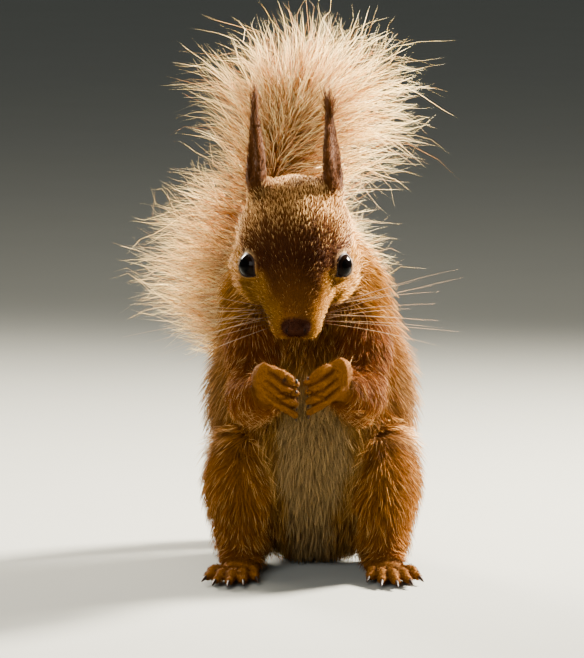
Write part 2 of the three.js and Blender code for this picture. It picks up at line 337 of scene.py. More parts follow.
@dataclass
class Surface:
    """A mesh as arrays, in mm, with its normals at the vertices."""

    points: Array
    triangles: Array
    edges: Array
    normals: Array = field(init=False)

    def __post_init__(self) -> None:
        """Works out the normals for the first time."""
        self.find_normals()

    @classmethod
    def of(cls, piece: Piece) -> "Surface":
        """Reads a piece's mesh."""
        mesh = piece.data
        points = np.empty(3 * len(mesh.vertices))
        mesh.vertices.foreach_get("co", points)
        edges = np.empty(2 * len(mesh.edges), np.int64)
        mesh.edges.foreach_get("vertices", edges)
        mesh.calc_loop_triangles()
        triangles = np.empty(3 * len(mesh.loop_triangles), np.int64)
        mesh.loop_triangles.foreach_get("vertices", triangles)
        return cls(points.reshape(-1, 3) / MM, triangles.reshape(-1, 3), edges.reshape(-1, 2))

    def find_normals(self) -> None:
        """Works out the normals at the vertices from the points."""
        a, b, c = (self.points[self.triangles[:, i]] for i in range(3))
        facing = np.cross(b - a, c - a)
        self.normals = unit(self.gathered(np.repeat(facing, 3, axis=0), self.triangles.ravel()))

    def gathered(self, values: Array, to: Array) -> Array:
        """Returns, for each vertex, the sum of the rows of values that go to it."""
        size = len(self.points)
        columns = [np.bincount(to, values[:, i], size) for i in range(values.shape[1])]
        return np.stack(columns, axis=1)

    def relaxed(
        self, values: Array, rounds: int, pull: Array | float = 0.5, swell: Array | float | None = None
    ) -> Array:
        """Returns values drawn towards the mean of their neighbours.

        Args:
            values: one row for each vertex.
            rounds: how many times they are drawn.
            pull: the part of the way they go each time.
            swell: the part of the way that they are then pushed back, so that a form keeps its bulk.
        """
        a, b = self.edges.T
        to = np.concatenate([a, b])
        share = np.bincount(to, minlength=len(self.points)).astype(float)[:, None]
        moves = [pull] if swell is None else [pull, -swell]
        for _ in range(rounds):
            for move in moves:
                mean = self.gathered(np.concatenate([values[b], values[a]]), to) / share
                values = values + move * (mean - values)
        return values

    def relax(self, rounds: int, pull: Array | float = 0.5, swell: Array | float | None = None) -> None:
        """Draws the points towards the mean of their neighbours, as relaxed() says."""
        self.points = self.relaxed(self.points, rounds, pull, swell)

    def sink(self, depth: Array) -> None:
        """Moves each point in against its normal by its own depth, in mm."""
        self.points = self.points - self.normals * depth[:, None]

    def store(self, piece: Piece) -> None:
        """Writes the points back to a piece."""
        piece.data.vertices.foreach_set("co", (self.points * MM).astype(np.float32).ravel())
        piece.data.update()


# ---- the skin ----


def flesh_nodes() -> dict[str, Region]:
    """Returns the CAD nodes that the skin replaces, with the region of each."""
    found: dict[str, Region] = {}
    for node in sorted(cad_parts):
        for region in REGIONS:
            stem = region.value
            if node == stem or node in (f"{stem}_{side}" for side in SIDES) or node.startswith(f"{stem}_"):
                if not node.startswith(("claw", "eye")):
                    found[node] = region
    return found


@dataclass
class TailCore:
    """The thin tail under its long hair: a tapered tube along the plume."""

    root_radius: float = 6.5
    tip_radius: float = 2.6
    rounded: float = 0.02  # the share of the length that rounds the tip off
    sides: int = 14
    steps: int = 60

    def route(self, t: Array) -> Array:
        """Returns the points along the core, for t from 0 at the rump to 1 at the tip."""
        stops = np.array(
            [
                within("tail_base", 0.745, -0.05, 0.14),
                within("tail_base", 0.70, 0.42, 0.125),
                within("tail_base", 0.56, 0.67, 0.37),
                within("tail_base", 0.44, 0.69, 0.72),
                within("tail_middle", 0.51, 0.58, 0.19),
                within("tail_middle", 0.50, 0.46, 0.56),
                within("tail_middle", 0.545, 0.34, 0.91),
                within("tail_brush", 0.443, 0.36, 0.42),
            ]
        )
        return spline(stops, t)

    def radius(self, t: Array) -> Array:
        """Returns the core's radius along it."""
        round_end = np.sqrt(np.clip((1 - t) / self.rounded, 0, 1))
        return (self.root_radius + (self.tip_radius - self.root_radius) * np.sqrt(t)) * round_end

    def build(self) -> Piece:
        """Returns the closed tube."""
        t = np.linspace(0, 1, self.steps)
        return tube("tail_core", self.route(t), self.radius(t), self.sides)


def blob(centre: Array, radius: float) -> Piece:
    """Returns a ball, as a lump to be joined to the skin."""
    deselect()
    bpy.ops.mesh.primitive_ico_sphere_add(subdivisions=3, radius=radius * MM, location=tuple(centre * MM))
    lump = bpy.context.object
    bpy.ops.object.transform_apply(location=True, rotation=True, scale=True)
    return lump


BRIDGE_SPAN = (0.15, 0.9)  # where the first and the last ball of a bridge lie between its ends
BRIDGE_BALLS = 7


def bridge_of_blobs(start: Array, end: Array, radii: tuple[float, float]) -> list[Piece]:
    """Returns a row of balls that joins two limbs, from the first radius to the last."""
    first, last = radii
    shares = np.linspace(*BRIDGE_SPAN, BRIDGE_BALLS)
    return [blob(start + (end - start) * t, first + (last - first) * t) for t in shares]


@dataclass(frozen=True)
class Finger:
    """The middle line of a finger.  Offsets are out to the finger's own side, back and up."""

    side: str
    digit: int
    knuckle: tuple[float, float, float] = (7.7, 0.0, 4.6)  # the first knuckle, from its finger's tip
    spread: tuple[float, float, float] = (0.55, -0.6, 1.0)  # what each next knuckle adds
    bow: tuple[float, float, float] = (0.8, -2.4, 0.4)  # how far the finger's middle is bent out
    stops: int = 14

    def path(self) -> Array:
        """Returns the line, from the claw back over the finger's bend to its knuckle."""
        tip = Claw("hand", self.side, self.digit).base()
        out = np.array([SIDES[self.side], 1, 1])
        knuckle = tip + out * (np.array(self.knuckle) + np.array(self.spread) * (self.digit - 1))
        middle = (tip + knuckle) / 2
        bend = middle + out * self.bow
        t = np.linspace(0, 1, self.stops)[:, None]
        return tip * (1 - t) ** 2 + (2 * bend - middle) * 2 * t * (1 - t) + knuckle * t**2


def spline(stops: Array, t: Array) -> Array:
    """Returns points on a Catmull-Rom curve through the stops, for t from 0 to 1."""
    padded = np.concatenate([[2 * stops[0] - stops[1]], stops, [2 * stops[-1] - stops[-2]]])
    spot = np.clip(t, 0, 1) * (len(stops) - 1)
    start = np.minimum(spot.astype(int), len(stops) - 2)
    s = (spot - start)[:, None]
    a, b, c, d = (padded[start + i] for i in range(4))
    return 0.5 * (2 * b + (c - a) * s + (2 * a - 5 * b + 4 * c - d) * s**2 + (3 * b - a - 3 * c + d) * s**3)


def tube(name: str, path: Array, radii: Array, sides: int) -> Piece:
    """Builds a closed tube along a path.

    Args:
        name: the object's name.
        path: the points of its middle line.
        radii: its radius at each of them.
        sides: how many sides it has.

    Returns:
        The tube, with its ends drawn to the first and the last point.
    """
    heading = unit(np.gradient(path, axis=0))
    across = unit(np.cross(heading, [0.3, 0.9, 0.1]))
    up = np.cross(across, heading)
    turn = np.arange(sides) * 2 * math.pi / sides
    spokes = across[:, None] * np.cos(turn)[:, None] + up[:, None] * np.sin(turn)[:, None]
    rings = path[:, None] + spokes * radii[:, None, None]
    points = np.concatenate([rings.reshape(-1, 3), path[:1], path[-1:]])
    i, j = np.meshgrid(np.arange(len(path) - 1), np.arange(sides), indexing="ij")
    a = (i * sides + j).ravel()
    b = (i * sides + (j + 1) % sides).ravel()
    walls = np.concatenate([np.stack([a, b, b + sides], 1), np.stack([a, b + sides, a + sides], 1)])
    j = np.arange(sides)
    k = (j + 1) % sides
    first, last = len(points) - 2, len(points) - 1
    end = (len(path) - 1) * sides
    caps = [np.stack([np.full(sides, first), k, j], 1), np.stack([np.full(sides, last), end + j, end + k], 1)]
    return mesh_object(name, points, np.concatenate([walls, *caps])[:, ::-1])


@dataclass
class Eye:
    """One eye: the ball, and the shape of the opening between its lids."""

    side: int
    centre: Array
    radius: float = HEAD.eye_radius
    gaze_out: float = 46  # from straight ahead of the animal's body
    gaze_up: float = 8
    half_length: float = 62  # of the opening, seen from the middle of the ball
    half_height: float = 46
    slant: float = 14  # of the long axis, towards the bridge of the nose
    front_pinch: float = 0.5  # how much the opening narrows to its corner by the nose
    back_pinch: float = 0.3
    least_pinch: float = 0.45  # the narrowest that it gets, beside its middle
    lid: float = 0.55  # thickness
    lip: float = 0.14  # how far the lids' edge stands over the ball
    bed: float = 0.7  # how deep under the ball's surface the skin lies behind it
    verge: float = 1.02  # where in the opening the bed ends and the lids begin
    surround: float = 2.5  # how far from the ball the skin still belongs to the lids
    segments: int = 56
    rings: int = 36

    def axes(self) -> tuple[Array, Array, Array]:
        """Returns the gaze, the opening's long axis towards the nose, and its short axis."""
        out, up = math.radians(self.gaze_out), math.radians(self.gaze_up)
        ahead = math.cos(out)
        gaze = np.array([self.side * math.sin(out), -ahead * math.cos(up), ahead * math.sin(up)])
        level = unit(HEAD.forward - gaze * (HEAD.forward @ gaze))
        bridgeward = unit(HEAD.crownward - gaze * (HEAD.crownward @ gaze))
        turn = math.radians(self.slant)
        long_way = unit(level * math.cos(turn) + bridgeward * math.sin(turn))
        return gaze, long_way, np.cross(gaze, long_way)

    def opening(self, points: Array) -> tuple[Array, Array]:
        """Returns each point's distance from the ball's centre, and where it lies in the opening.

        The second is under 1 inside the almond between the lids, 1 on their edge and more outside.
        """
        gaze, long_way, short_way = self.axes()
        off = points - self.centre
        reach = np.linalg.norm(off, axis=1)
        ahead = off @ gaze
        bend = np.arccos(np.clip(ahead / np.maximum(reach, 1e-9), -1, 1))
        flat = np.maximum(np.hypot(off @ long_way, off @ short_way), 1e-9)
        u = np.degrees(bend) * (off @ long_way) / flat / self.half_length
        w = np.degrees(bend) * (off @ short_way) / flat / self.half_height
        pinch = np.clip(1 - np.where(u > 0, self.front_pinch, self.back_pinch) * u * u, self.least_pinch, 1)
        return reach, np.sqrt(u * u + (w / pinch) ** 2)

    def build(self, name: str) -> Piece:
        """Returns the eyeball, with how far each point is turned from the gaze."""
        deselect()
        gaze, _, _ = self.axes()
        bpy.ops.mesh.primitive_uv_sphere_add(
            segments=self.segments,
            ring_count=self.rings,
            radius=self.radius * MM,
            location=tuple(self.centre * MM),
            rotation=Vector(gaze).to_track_quat("Z", "Y").to_euler(),
        )
        ball = bpy.context.object
        ball.name = name
        bpy.ops.object.transform_apply(location=True, rotation=True, scale=True)
        bpy.ops.object.shade_smooth()
        off = Surface.of(ball).points - self.centre
        write_attribute(ball, "turned", np.degrees(np.arccos(np.clip(unit(off) @ gaze, -1, 1))))
        return ball


def eyes() -> dict[str, Eye]:
    """Returns the two eyes, where the CAD has them."""
    return {name: Eye(side, centre_of(f"eye_{name}")) for name, side in SIDES.items()}


@dataclass
class Skin:
    """The one skin under the whole coat, and the maps on it that the coat follows."""

    rough_grain: float = 0.9  # the mesh of the first, rough skin
    grain: float = 0.565  # the mesh of the finished skin
    bridge: float = 0.4  # how far the parts are grown so that they join over their thin cuts
    nape: tuple[float, float, float] = (45.0, -13.0, 13.0)  # the fill behind the crown: back, up, radius
    nape_row: tuple[float, ...] = (-7, 0, 7)  # where its balls lie across the head
    crotch: float = 10.5  # the radius of the fill between the belly and each leg
    floor_gap: float = 0.5  # how far that fill stands over the floor
    nose_wing: tuple[float, float, float, float] = (1.6, -0.4, 2.2, 2.2)  # back, up, out, radius
    wrist: tuple[float, float] = (6.4, 3.8)  # the radii of the fill from the forearm to the hand
    ankle: tuple[float, float] = (6.0, 3.4)  # from the lower leg to the heel
    finger: tuple[float, float] = (1.15, 1.6)  # from a finger's tip to its knuckle
    toe: tuple[float, float] = (1.5, 1.3)  # from the foot to a claw
    toe_root: float = 0.35  # where a toe starts, on the way from its claw to the middle of the foot
    rounds: int = 110  # how often the rough skin is smoothed
    soft_rounds: tuple[int, int] = (12, 24)  # how often the regions' edges are, on a rough and a fine mesh
    fine_size: int = 150_000  # the vertices from which a mesh counts as fine
    crease: float = 3.0  # how deep the folds between limbs and trunk are
    groove: float = 0.9  # how deep the grooves between the fingers are
    ear_squeeze: float = 0.24  # how much narrower the ears' skin is than the ears with their fur
    shown_share: float = 0.57  # the share of the triangles that the shown skin keeps
    piece: Piece | None = None
    surface: Surface | None = None
    weights: Array | None = None
    heading: Array | None = None
    marks: dict[str, Array] | None = None
    nostril: Array | None = None  # how far each vertex lies in a nostril
    pad: Array | None = None  # how far each vertex lies on the nose pad
    grizzle_and_crown_light: Array | None = None  # how pale the tips of the coat are
    parting: Array | None = None  # how far each vertex lies between two fingers

    def build(self) -> None:
        """Makes the skin, carves the head and maps the coat on it."""
        self.join_rough()
        self.read()
        self.settle()
        self.join_fine()
        self.read()
        self.refine_head()
        self.carve_eyes()
        self.carve_nose()
        self.part_fingers()
        self.surface.find_normals()
        self.surface.store(self.piece)
        self.comb_heading()
        self.marks = markings(self)
        for mark, values in self.marks.items():
            write_attribute(self.piece, mark, values)
        self.thin_out()

    def read(self) -> None:
        """Takes the skin's mesh and its regions into arrays."""
        self.surface = Surface.of(self.piece)
        self.weigh_regions()

    def share(self, *regions: Region) -> Array:
        """Returns how much each vertex belongs to the regions."""
        return sum(self.weights[:, REGIONS.index(region)] for region in regions)

    def join(self, parts: list[Piece], grain: float) -> None:
        """Joins parts into the skin, as one closed mesh.

        Args:
            parts: the closed meshes that it is made of.
            grain: the size of its faces.
        """
        deselect()
        for part in parts:
            part.select_set(True)
        bpy.context.view_layer.objects.active = parts[0]
        bpy.ops.object.join()
        self.piece = bpy.context.object
        self.piece.name = self.piece.data.name = "skin"
        apply_modifier(self.piece, "REMESH", mode="VOXEL", voxel_size=grain * MM, use_smooth_shade=True)

    def join_rough(self) -> None:
        """Joins grown copies of the flesh with the tail's core."""
        parts = [TailCore().build()]
        back, up, radius = self.nape
        parts += [blob(HEAD.place(back, up, out), radius) for out in self.nape_row]
        for node, region in flesh_nodes().items():
            if region is not Region.TAIL:
                parts.append(copy_of_node(node, f"part_{node}"))
                apply_modifier(parts[-1], "DISPLACE", strength=self.bridge * MM, mid_level=0)
        for side in SIDES:
            spot = (centre_of("trunk") + centre_of(f"thigh_{side}")) / 2
            spot[2] = self.crotch + self.floor_gap
            parts.append(blob(spot, self.crotch))
        self.join(parts, self.rough_grain)

    def join_fine(self) -> None:
        """Joins the rounded skin with finer hands, feet and ears, and with what the head needs."""
        parts = [self.piece]
        for node, region in flesh_nodes().items():
            if region in (Region.HAND, Region.FOOT, Region.EAR):
                part = copy_of_node(node, f"part_{node}")
                apply_modifier(part, "DISPLACE", strength=-PELTS[region].depth * MM, mid_level=0)
                parts.append(part)
        for name, eye in eyes().items():
            parts.append(eye.build(f"lid_ball_{name}"))
            apply_modifier(parts[-1], "DISPLACE", strength=eye.lid * MM, mid_level=0)
        back, up, out, radius = self.nose_wing
        for side, sign in SIDES.items():
            parts.append(blob(HEAD.place(back, up, sign * out), radius))
            heel = within(f"foot_{side}", 0.5, 0.8, 0.5)
            parts += bridge_of_blobs(centre_of(f"forearm_{side}"), centre_of(f"hand_{side}"), self.wrist)
            parts += bridge_of_blobs(centre_of(f"lower_leg_{side}"), heel, self.ankle)
            for digit in FINGERS:
                path = Finger(side, digit).path()
                parts += [blob(*ball) for ball in zip(path, np.linspace(*self.finger, len(path)))]
            for digit in TOES:
                base = Claw("foot", side, digit).base()
                start = base + (centre_of(f"foot_{side}") - base) * self.toe_root
                parts += bridge_of_blobs(start, base, self.toe)
        self.join(parts, self.grain)
        self.keep_largest()
        self.read()
        toes = self.share(Region.FOOT) * ease(-12, -26, self.surface.points[:, 1])
        pull = 0.4 * (1 - (self.share(Region.HAND) + toes) * 0.75 - self.share(Region.EAR) * 0.3)
        self.surface.relax(6, pull[:, None])
        wrist = ease(0.1, 0.6, 4 * self.share(Region.HAND) * self.share(Region.FOREARM))
        self.surface.relax(16, 0.5 * wrist[:, None])
        self.narrow_ears()
        self.surface.store(self.piece)

    def narrow_ears(self) -> None:
        """Draws each ear's skin in towards the ear's middle line, to leave room for its fur."""
        points = self.surface.points
        ear = self.share(Region.EAR)
        for sign in SIDES.values():
            rows = np.flatnonzero((ear > 0.5) & (points[:, 0] * sign > middle_of(Region.EAR) * sign))
            slope, start = np.polyfit(points[rows, 2], points[rows, 0], 1)
            beside = points[:, 0] - (slope * points[:, 2] + start)
            squeeze = self.ear_squeeze * ear * (np.abs(beside) < EAR_REACH)
            points[:, 0] -= squeeze * beside

    def keep_largest(self) -> None:
        """Deletes the loose crumbs that a remesh can leave."""
        take(self.piece)
        bpy.ops.mesh.separate(type="LOOSE")
        crumbs = sorted(bpy.context.selected_objects, key=lambda piece: len(piece.data.vertices))
        self.piece = crumbs.pop()
        for crumb in crumbs:
            bpy.data.objects.remove(crumb)
        self.piece.name = self.piece.data.name = "skin"

    def weigh_regions(self) -> None:
        """Gives each vertex its share of each region, from the nearest CAD node, softened."""
        points, faces, owner = [], [], []
        for node, region in flesh_nodes().items():
            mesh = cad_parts[node].data
            if region is Region.TAIL:
                continue
            start = len(points)
            points += [v.co / MM for v in mesh.vertices]
            faces += [[start + i for i in p.vertices] for p in mesh.polygons]
            owner += [REGIONS.index(region)] * len(mesh.polygons)
        find = BVHTree.FromPolygons(points, faces).find_nearest
        near = np.array([owner[find(point)[2]] for point in self.surface.points.tolist()])
        core = TailCore()
        line = core.route(np.linspace(0.12, 1, 80))
        girth = core.root_radius + 1  # nothing on the tail is farther from its middle line
        behind = np.flatnonzero(self.surface.points[:, 1] > line[:, 1].min() - (girth + 0.5))
        gaps = np.linalg.norm(self.surface.points[behind][:, None] - line[None], axis=2).min(axis=1)
        near[behind[gaps < girth]] = REGIONS.index(Region.TAIL)
        rounds = self.soft_rounds[len(self.surface.points) >= self.fine_size]
        self.weights = self.surface.relaxed(np.eye(len(REGIONS))[near], rounds)

    def blend(self, value: Callable[[Pelt], Any]) -> Array:
        """Returns a pelt's value at each vertex, blended across the regions."""
        return self.weights @ np.array([value(PELTS[region]) for region in REGIONS], float)

    def settle(self) -> None:
        """Rounds the facets off and sinks the skin by the coat's depth."""
        surface = self.surface
        back, _, _ = HEAD.measure(surface.points)
        head = self.share(Region.HEAD)
        firm = np.maximum(self.blend(lambda pelt: pelt.firmness), head * (1 - ease(8, 22, back)) * 0.85)
        pull = 0.5 * (1 - firm) ** 2
        swell = 1.05 * pull * ease(0.3, 0.8, head)
        surface.relax(self.rounds, pull[:, None], swell[:, None])
        surface.find_normals()
        depth = self.blend(lambda pelt: pelt.depth + pelt.core)
        depth *= 1 - 0.6 * head * (1 - ease(4, 20, back))
        surface.sink(depth + self.bridge)
        muzzle = head * (1 - ease(8, 22, back))
        surface.relax(10, 0.45 * (1 - 0.85 * muzzle)[:, None])
        surface.find_normals()
        haunch = self.share(Region.THIGH, Region.LOWER_LEG)
        sleeve = self.share(Region.UPPER_ARM, Region.FOREARM)
        seam = 4 * self.share(Region.TRUNK) * np.maximum(haunch, sleeve)
        surface.sink(self.crease * seam)
        surface.relax(4, 0.4)
        surface.store(self.piece)

    def refine_head(self) -> None:
        """Gives the skin a finer mesh about the eyes, the nose and the mouth."""
        back, up, _ = HEAD.measure(self.surface.points)
        fine = (back < 10) & (up < 5)
        for eye in eyes().values():
            reach, place = eye.opening(self.surface.points)
            fine |= (reach < eye.radius + eye.surround) & (place < 1.8)
        self.subdivide(fine & (self.share(Region.HEAD) > 0.3))
        rims = np.zeros(len(self.surface.points), bool)
        for eye in eyes().values():
            reach, place = eye.opening(self.surface.points)
            rims |= (reach < eye.radius + eye.surround) & (place > 0.8) & (place < 1.25)
        self.subdivide(rims)

    def subdivide(self, chosen: Array) -> None:
        """Splits the faces whose vertices are chosen, and reads the skin again."""
        take(self.piece)
        mesh = self.piece.data
        bpy.ops.object.mode_set(mode="EDIT")
        bpy.ops.mesh.select_all(action="DESELECT")
        bpy.ops.mesh.select_mode(type="VERT")
        bpy.ops.object.mode_set(mode="OBJECT")
        mesh.vertices.foreach_set("select", chosen)
        mesh.edges.foreach_set("select", chosen[self.surface.edges].all(axis=1))
        bpy.ops.object.mode_set(mode="EDIT")
        bpy.ops.mesh.subdivide(number_cuts=1, smoothness=0)
        bpy.ops.object.mode_set(mode="OBJECT")
        self.read()

    def carve_eyes(self) -> None:
        """Opens the lids: a thin edge on the ball, a soft fold round it, and the ball's bed."""
        surface = self.surface
        for eye in eyes().values():
            reach, place = eye.opening(surface.points)
            near = (reach < eye.radius + 3) & (place < 2)
            edge = eye.radius + eye.lip + (eye.lid - eye.lip) * ease(eye.verge, 1.4, place)
            shut = edge + (reach - edge) * ease(1.15, 1.8, place)
            bed = eye.radius - eye.bed + (eye.bed + eye.lip) * ease(0.84, eye.verge, place)
            wanted = np.where(place < eye.verge, bed, shut)
            off = unit(surface.points - eye.centre)
            surface.points[near] = (eye.centre + off * wanted[:, None])[near]
            fold = ease(1.3, 1.5, place) * ease(eye.radius + 4.5, eye.radius + eye.surround, reach)
            surface.relax(14, 0.5 * fold[:, None])

    def carve_nose(self) -> None:
        """Sinks the nostrils, the groove under the nose and the line of the mouth."""
        surface = self.surface
        surface.find_normals()
        back, up, out = HEAD.measure(surface.points)
        side = np.abs(out)
        front = surface.normals @ HEAD.forward
        slit = side - 3.3 + 0.35 * (up - 0.2) ** 2  # a comma's curve on each side of the nose
        nostril = np.exp(-((slit / 0.45) ** 2) - ((up - 0.1) / 1.2) ** 2)
        nostril = nostril * (back < 5) * ease(-0.2, 0.2, front)
        groove = np.exp(-((side / 0.4) ** 2)) * ease(0.6, -1.4, up) * ease(-8.5, -7, up) * (back < 9)
        lips = -6.4 - 0.05 * back
        mouth = np.exp(-(((up - lips) / 0.5) ** 2)) * ease(19, 13, back) * ease(11, 8, side)
        self.nostril = np.clip(1.5 * nostril, 0, 1)
        depth = 1.2 * nostril + 0.55 * groove + 1.4 * mouth
        surface.sink(depth)

    def part_fingers(self) -> None:
        """Sinks a groove between each finger and the next."""
        surface = self.surface
        surface.find_normals()
        self.parting = np.zeros(len(surface.points))
        for side, sign in SIDES.items():
            on_side = (surface.points[:, 0] - HEAD.nose[0]) * sign > 0
            rows = np.flatnonzero(on_side & (self.share(Region.HAND) > 0.5))
            gaps, ends = [], []
            for digit in FINGERS:
                path = Finger(side, digit).path()
                gap = np.linalg.norm(surface.points[rows][:, None] - path[None], axis=2)
                gaps.append(gap.min(axis=1))
                ends.append(gap.argmin(axis=1) / (len(path) - 1))
            order = np.argsort(gaps, axis=0)
            first, second = (np.take_along_axis(np.array(gaps), order[i : i + 1], 0)[0] for i in (0, 1))
            end = np.take_along_axis(np.array(ends), order[:1], 0)[0]
            self.parting[rows] = np.exp(-(((second - first) / 0.6) ** 2)) * ease(1.0, 0.86, end) * (first < 3)
        surface.sink(self.groove * self.parting)

    def thin_out(self) -> None:
        """Thins the shown skin where the coat is thick, and keeps its fine mesh elsewhere."""
        keep = self.share(Region.HEAD, Region.HAND, Region.FOOT, Region.EAR)
        group = self.piece.vertex_groups.new(name="coarse")
        steps = 10
        for step in range(steps + 1):
            rows = np.flatnonzero(np.round((1 - keep) * steps) == step)
            group.add(rows.tolist(), step / steps, "REPLACE")
        settings = {"ratio": self.shown_share, "vertex_group": group.name, "vertex_group_factor": 4.0}
        apply_modifier(self.piece, "DECIMATE", **settings)
        self.piece.vertex_groups.clear()

    def seam(self) -> Array:
        """Returns how near each vertex lies to the fold between the trunk and a limb."""
        limbs = self.share(Region.THIGH, Region.UPPER_ARM)
        return np.clip(4 * self.share(Region.TRUNK) * limbs, 0, 1)

    def hollowness(self) -> Array:
        """Returns how far each vertex lies in a fold, in mm below the mean of those about it."""
        surface = self.surface
        off = dot(surface.relaxed(surface.points, 3) - surface.points, surface.normals)
        return surface.relaxed(off[:, None], 2)[:, 0]

    def comb_heading(self) -> None:
        """Works out which way the coat lies at each vertex."""
        surface = self.surface
        heading = self.weights @ unit(np.array([PELTS[region].heading for region in REGIONS], float))
        head = self.share(Region.HEAD)[:, None]
        from_nose = unit(surface.points - HEAD.place(0.5, -1.5))
        heading = heading * (1 - head) + head * from_nose
        sideways = surface.points[:, :1] - HEAD.nose[0]
        hand = self.share(Region.HAND)[:, None]
        heading = heading + hand * np.sign(sideways) * np.array([-0.9, 0, 0])
        heading = surface.relaxed(heading, 10)
        for eye in eyes().values():
            off = surface.points - eye.centre
            reach = np.linalg.norm(off, axis=1)
            parting = np.exp(-(((reach - eye.radius) / 2.2) ** 2))[:, None]
            heading = heading + 1.1 * parting * unit(off)
        heading -= surface.normals * dot(heading, surface.normals)[:, None]
        self.heading = unit(heading)


# ---- markings, shared by the skin and the coat ----


# The bib narrows to nothing at the top, where the upper chest carries painted shade under the chin and the
# hands.
BIB_EDGE = ((0, 12, 35, 58, 74, 86), (6, 9, 14, 14, 6, -4))  # heights, the bib's half width
BRIDGE_EDGE = ((3, 6.5, 10, 14.4, 17.5, 20.5, 24), (4.5, 5.0, 6.8, 8.2, 10.4, 13.5, 15.5))  # back, half width
BROW_DUSK = ((7, 14, 20, 30, 38), (0.45, 0.75, 0.95, 0.85, 0.75))  # places back, the brow's darkness


def markings(skin: Skin) -> dict[str, Array]:
    """Returns how far each marking covers each vertex of the skin, from 0 to 1; some of them carry painted
    shade and a painted highlight.

    Places on the head are measured back from the nose, up from the head's axis and out.  The nose pad and the
    grizzle of the crown, brightened there as painted light, are kept on the skin, because the coat needs them
    too.
    """
    points, normals = skin.surface.points, skin.surface.normals
    share = {region: skin.share(region) for region in REGIONS}
    stray = ripple(points, 9, 3)
    middle = centre_of("trunk")[0]
    height = points[:, 2]
    aside = np.abs(points[:, 0] - middle) + 2.2 * stray
    front = ease(0.15, -0.35, normals[:, 1])
    body = share[Region.TRUNK] + share[Region.NECK]
    bib = body * front * ease(6, -5, aside - np.interp(height, *BIB_EDGE))
    # a pale strip up each flank: a painted highlight, not a marking of the coat
    painted_flank_light = share[Region.TRUNK] * ease(20, 32, aside) * ease(22, 48, height) * ease(92, 62, height)
    hollow = skin.hollowness()
    digits = share[Region.HAND] + share[Region.FOOT]
    back, up, out = HEAD.measure(points)
    head = share[Region.HEAD]
    bridge = ease(1.9, -1.7, np.abs(out) + 0.8 * stray - np.interp(back, *BRIDGE_EDGE))
    above_eyes = ease(-1.4, 1.4, up + 0.8 * stray - 1.2) * ease(17, 24, back)
    brow = head * np.maximum(bridge * (up > -3), above_eyes)
    chin = head * ease(-6.5, -9.5, up) * ease(3, 6, back)
    cheek = (head - brow) * ease(42, 32, back)
    ring = np.zeros(len(points))
    rim = np.zeros(len(points))
    for eye in eyes().values():
        reach, place = eye.opening(points)
        close = reach < eye.radius + eye.surround
        outer = 0.3 + 0.4 * ease(-2, 3, (points[:, 0] - eye.centre[0]) * eye.side)
        ring = np.maximum(ring, outer * close * ease(1.14, 1.2, place) * ease(1.5, 1.26, place))
        rim = np.maximum(rim, close * ease(1.2, 1.12, place))
    pad_edge = 3.9 * ease(-4.2, 0.5, up) + 0.8
    pad = head * ease(4.2, 2.0, back) * ease(0.8, -0.8, np.abs(out) - pad_edge) * ease(-3.6, -2.8, up)
    skin.pad = pad
    # pale tips on the crown: agouti grizzle, brightened there as painted light; fewer on the bridge of the
    # nose
    skin.grizzle_and_crown_light = brow * (ease(26, 36, back) - 0.9 * ease(30, 18, back))
    mouth = head * np.exp(-(((up + 6.6 + 0.05 * back) / 0.8) ** 2)) * ease(19, 13, back)
    sleeve = share[Region.UPPER_ARM] + share[Region.FOREARM]
    # painted shade in the hollows of the feet and in the grooves between the fingers
    digit_fold_shade = np.maximum(share[Region.FOOT] * ease(0.012, 0.06, hollow), skin.parting)
    # the cream fades out above the middle of the chest: painted shade under the chin and the hands
    cream = bib * ease(76, 54, height) + 0.2 * painted_flank_light + 0.6 * chin + ring
    ochre = 0.9 * cheek + 0.5 * digits + 0.5 * share[Region.NECK] + 2.4 * bib * (1 - bib) + 0.5 * bib
    rust = 0.7 * sleeve + 0.35 * share[Region.LOWER_LEG] + 0.35 * digits
    dusk = np.interp(back, *BROW_DUSK) * brow + 0.8 * share[Region.EAR] + 0.8 * digit_fold_shade + pad
    # painted shade along the folds between the trunk and the thighs and upper arms
    dusk = dusk + 0.5 * skin.seam()
    # bare, moist skin of the nose and lips; its dark colour in the nostrils and along the mouth's line also
    # paints the shade in these hollows
    bare = 0.15 * pad + rim + 0.9 * mouth + skin.nostril
    return {
        "cream": np.clip(cream, 0, 1) * (1 - rim),
        "ochre": np.clip(ochre, 0, 1),
        "rust": np.clip(rust, 0, 1),
        "dusk": np.clip(dusk, 0, 1) * (1 - ring),
        "bare": np.clip(bare, 0, 1),
    }


MARKS = ("cream", "ochre", "rust", "dusk", "bare")


# ---- tufts ----


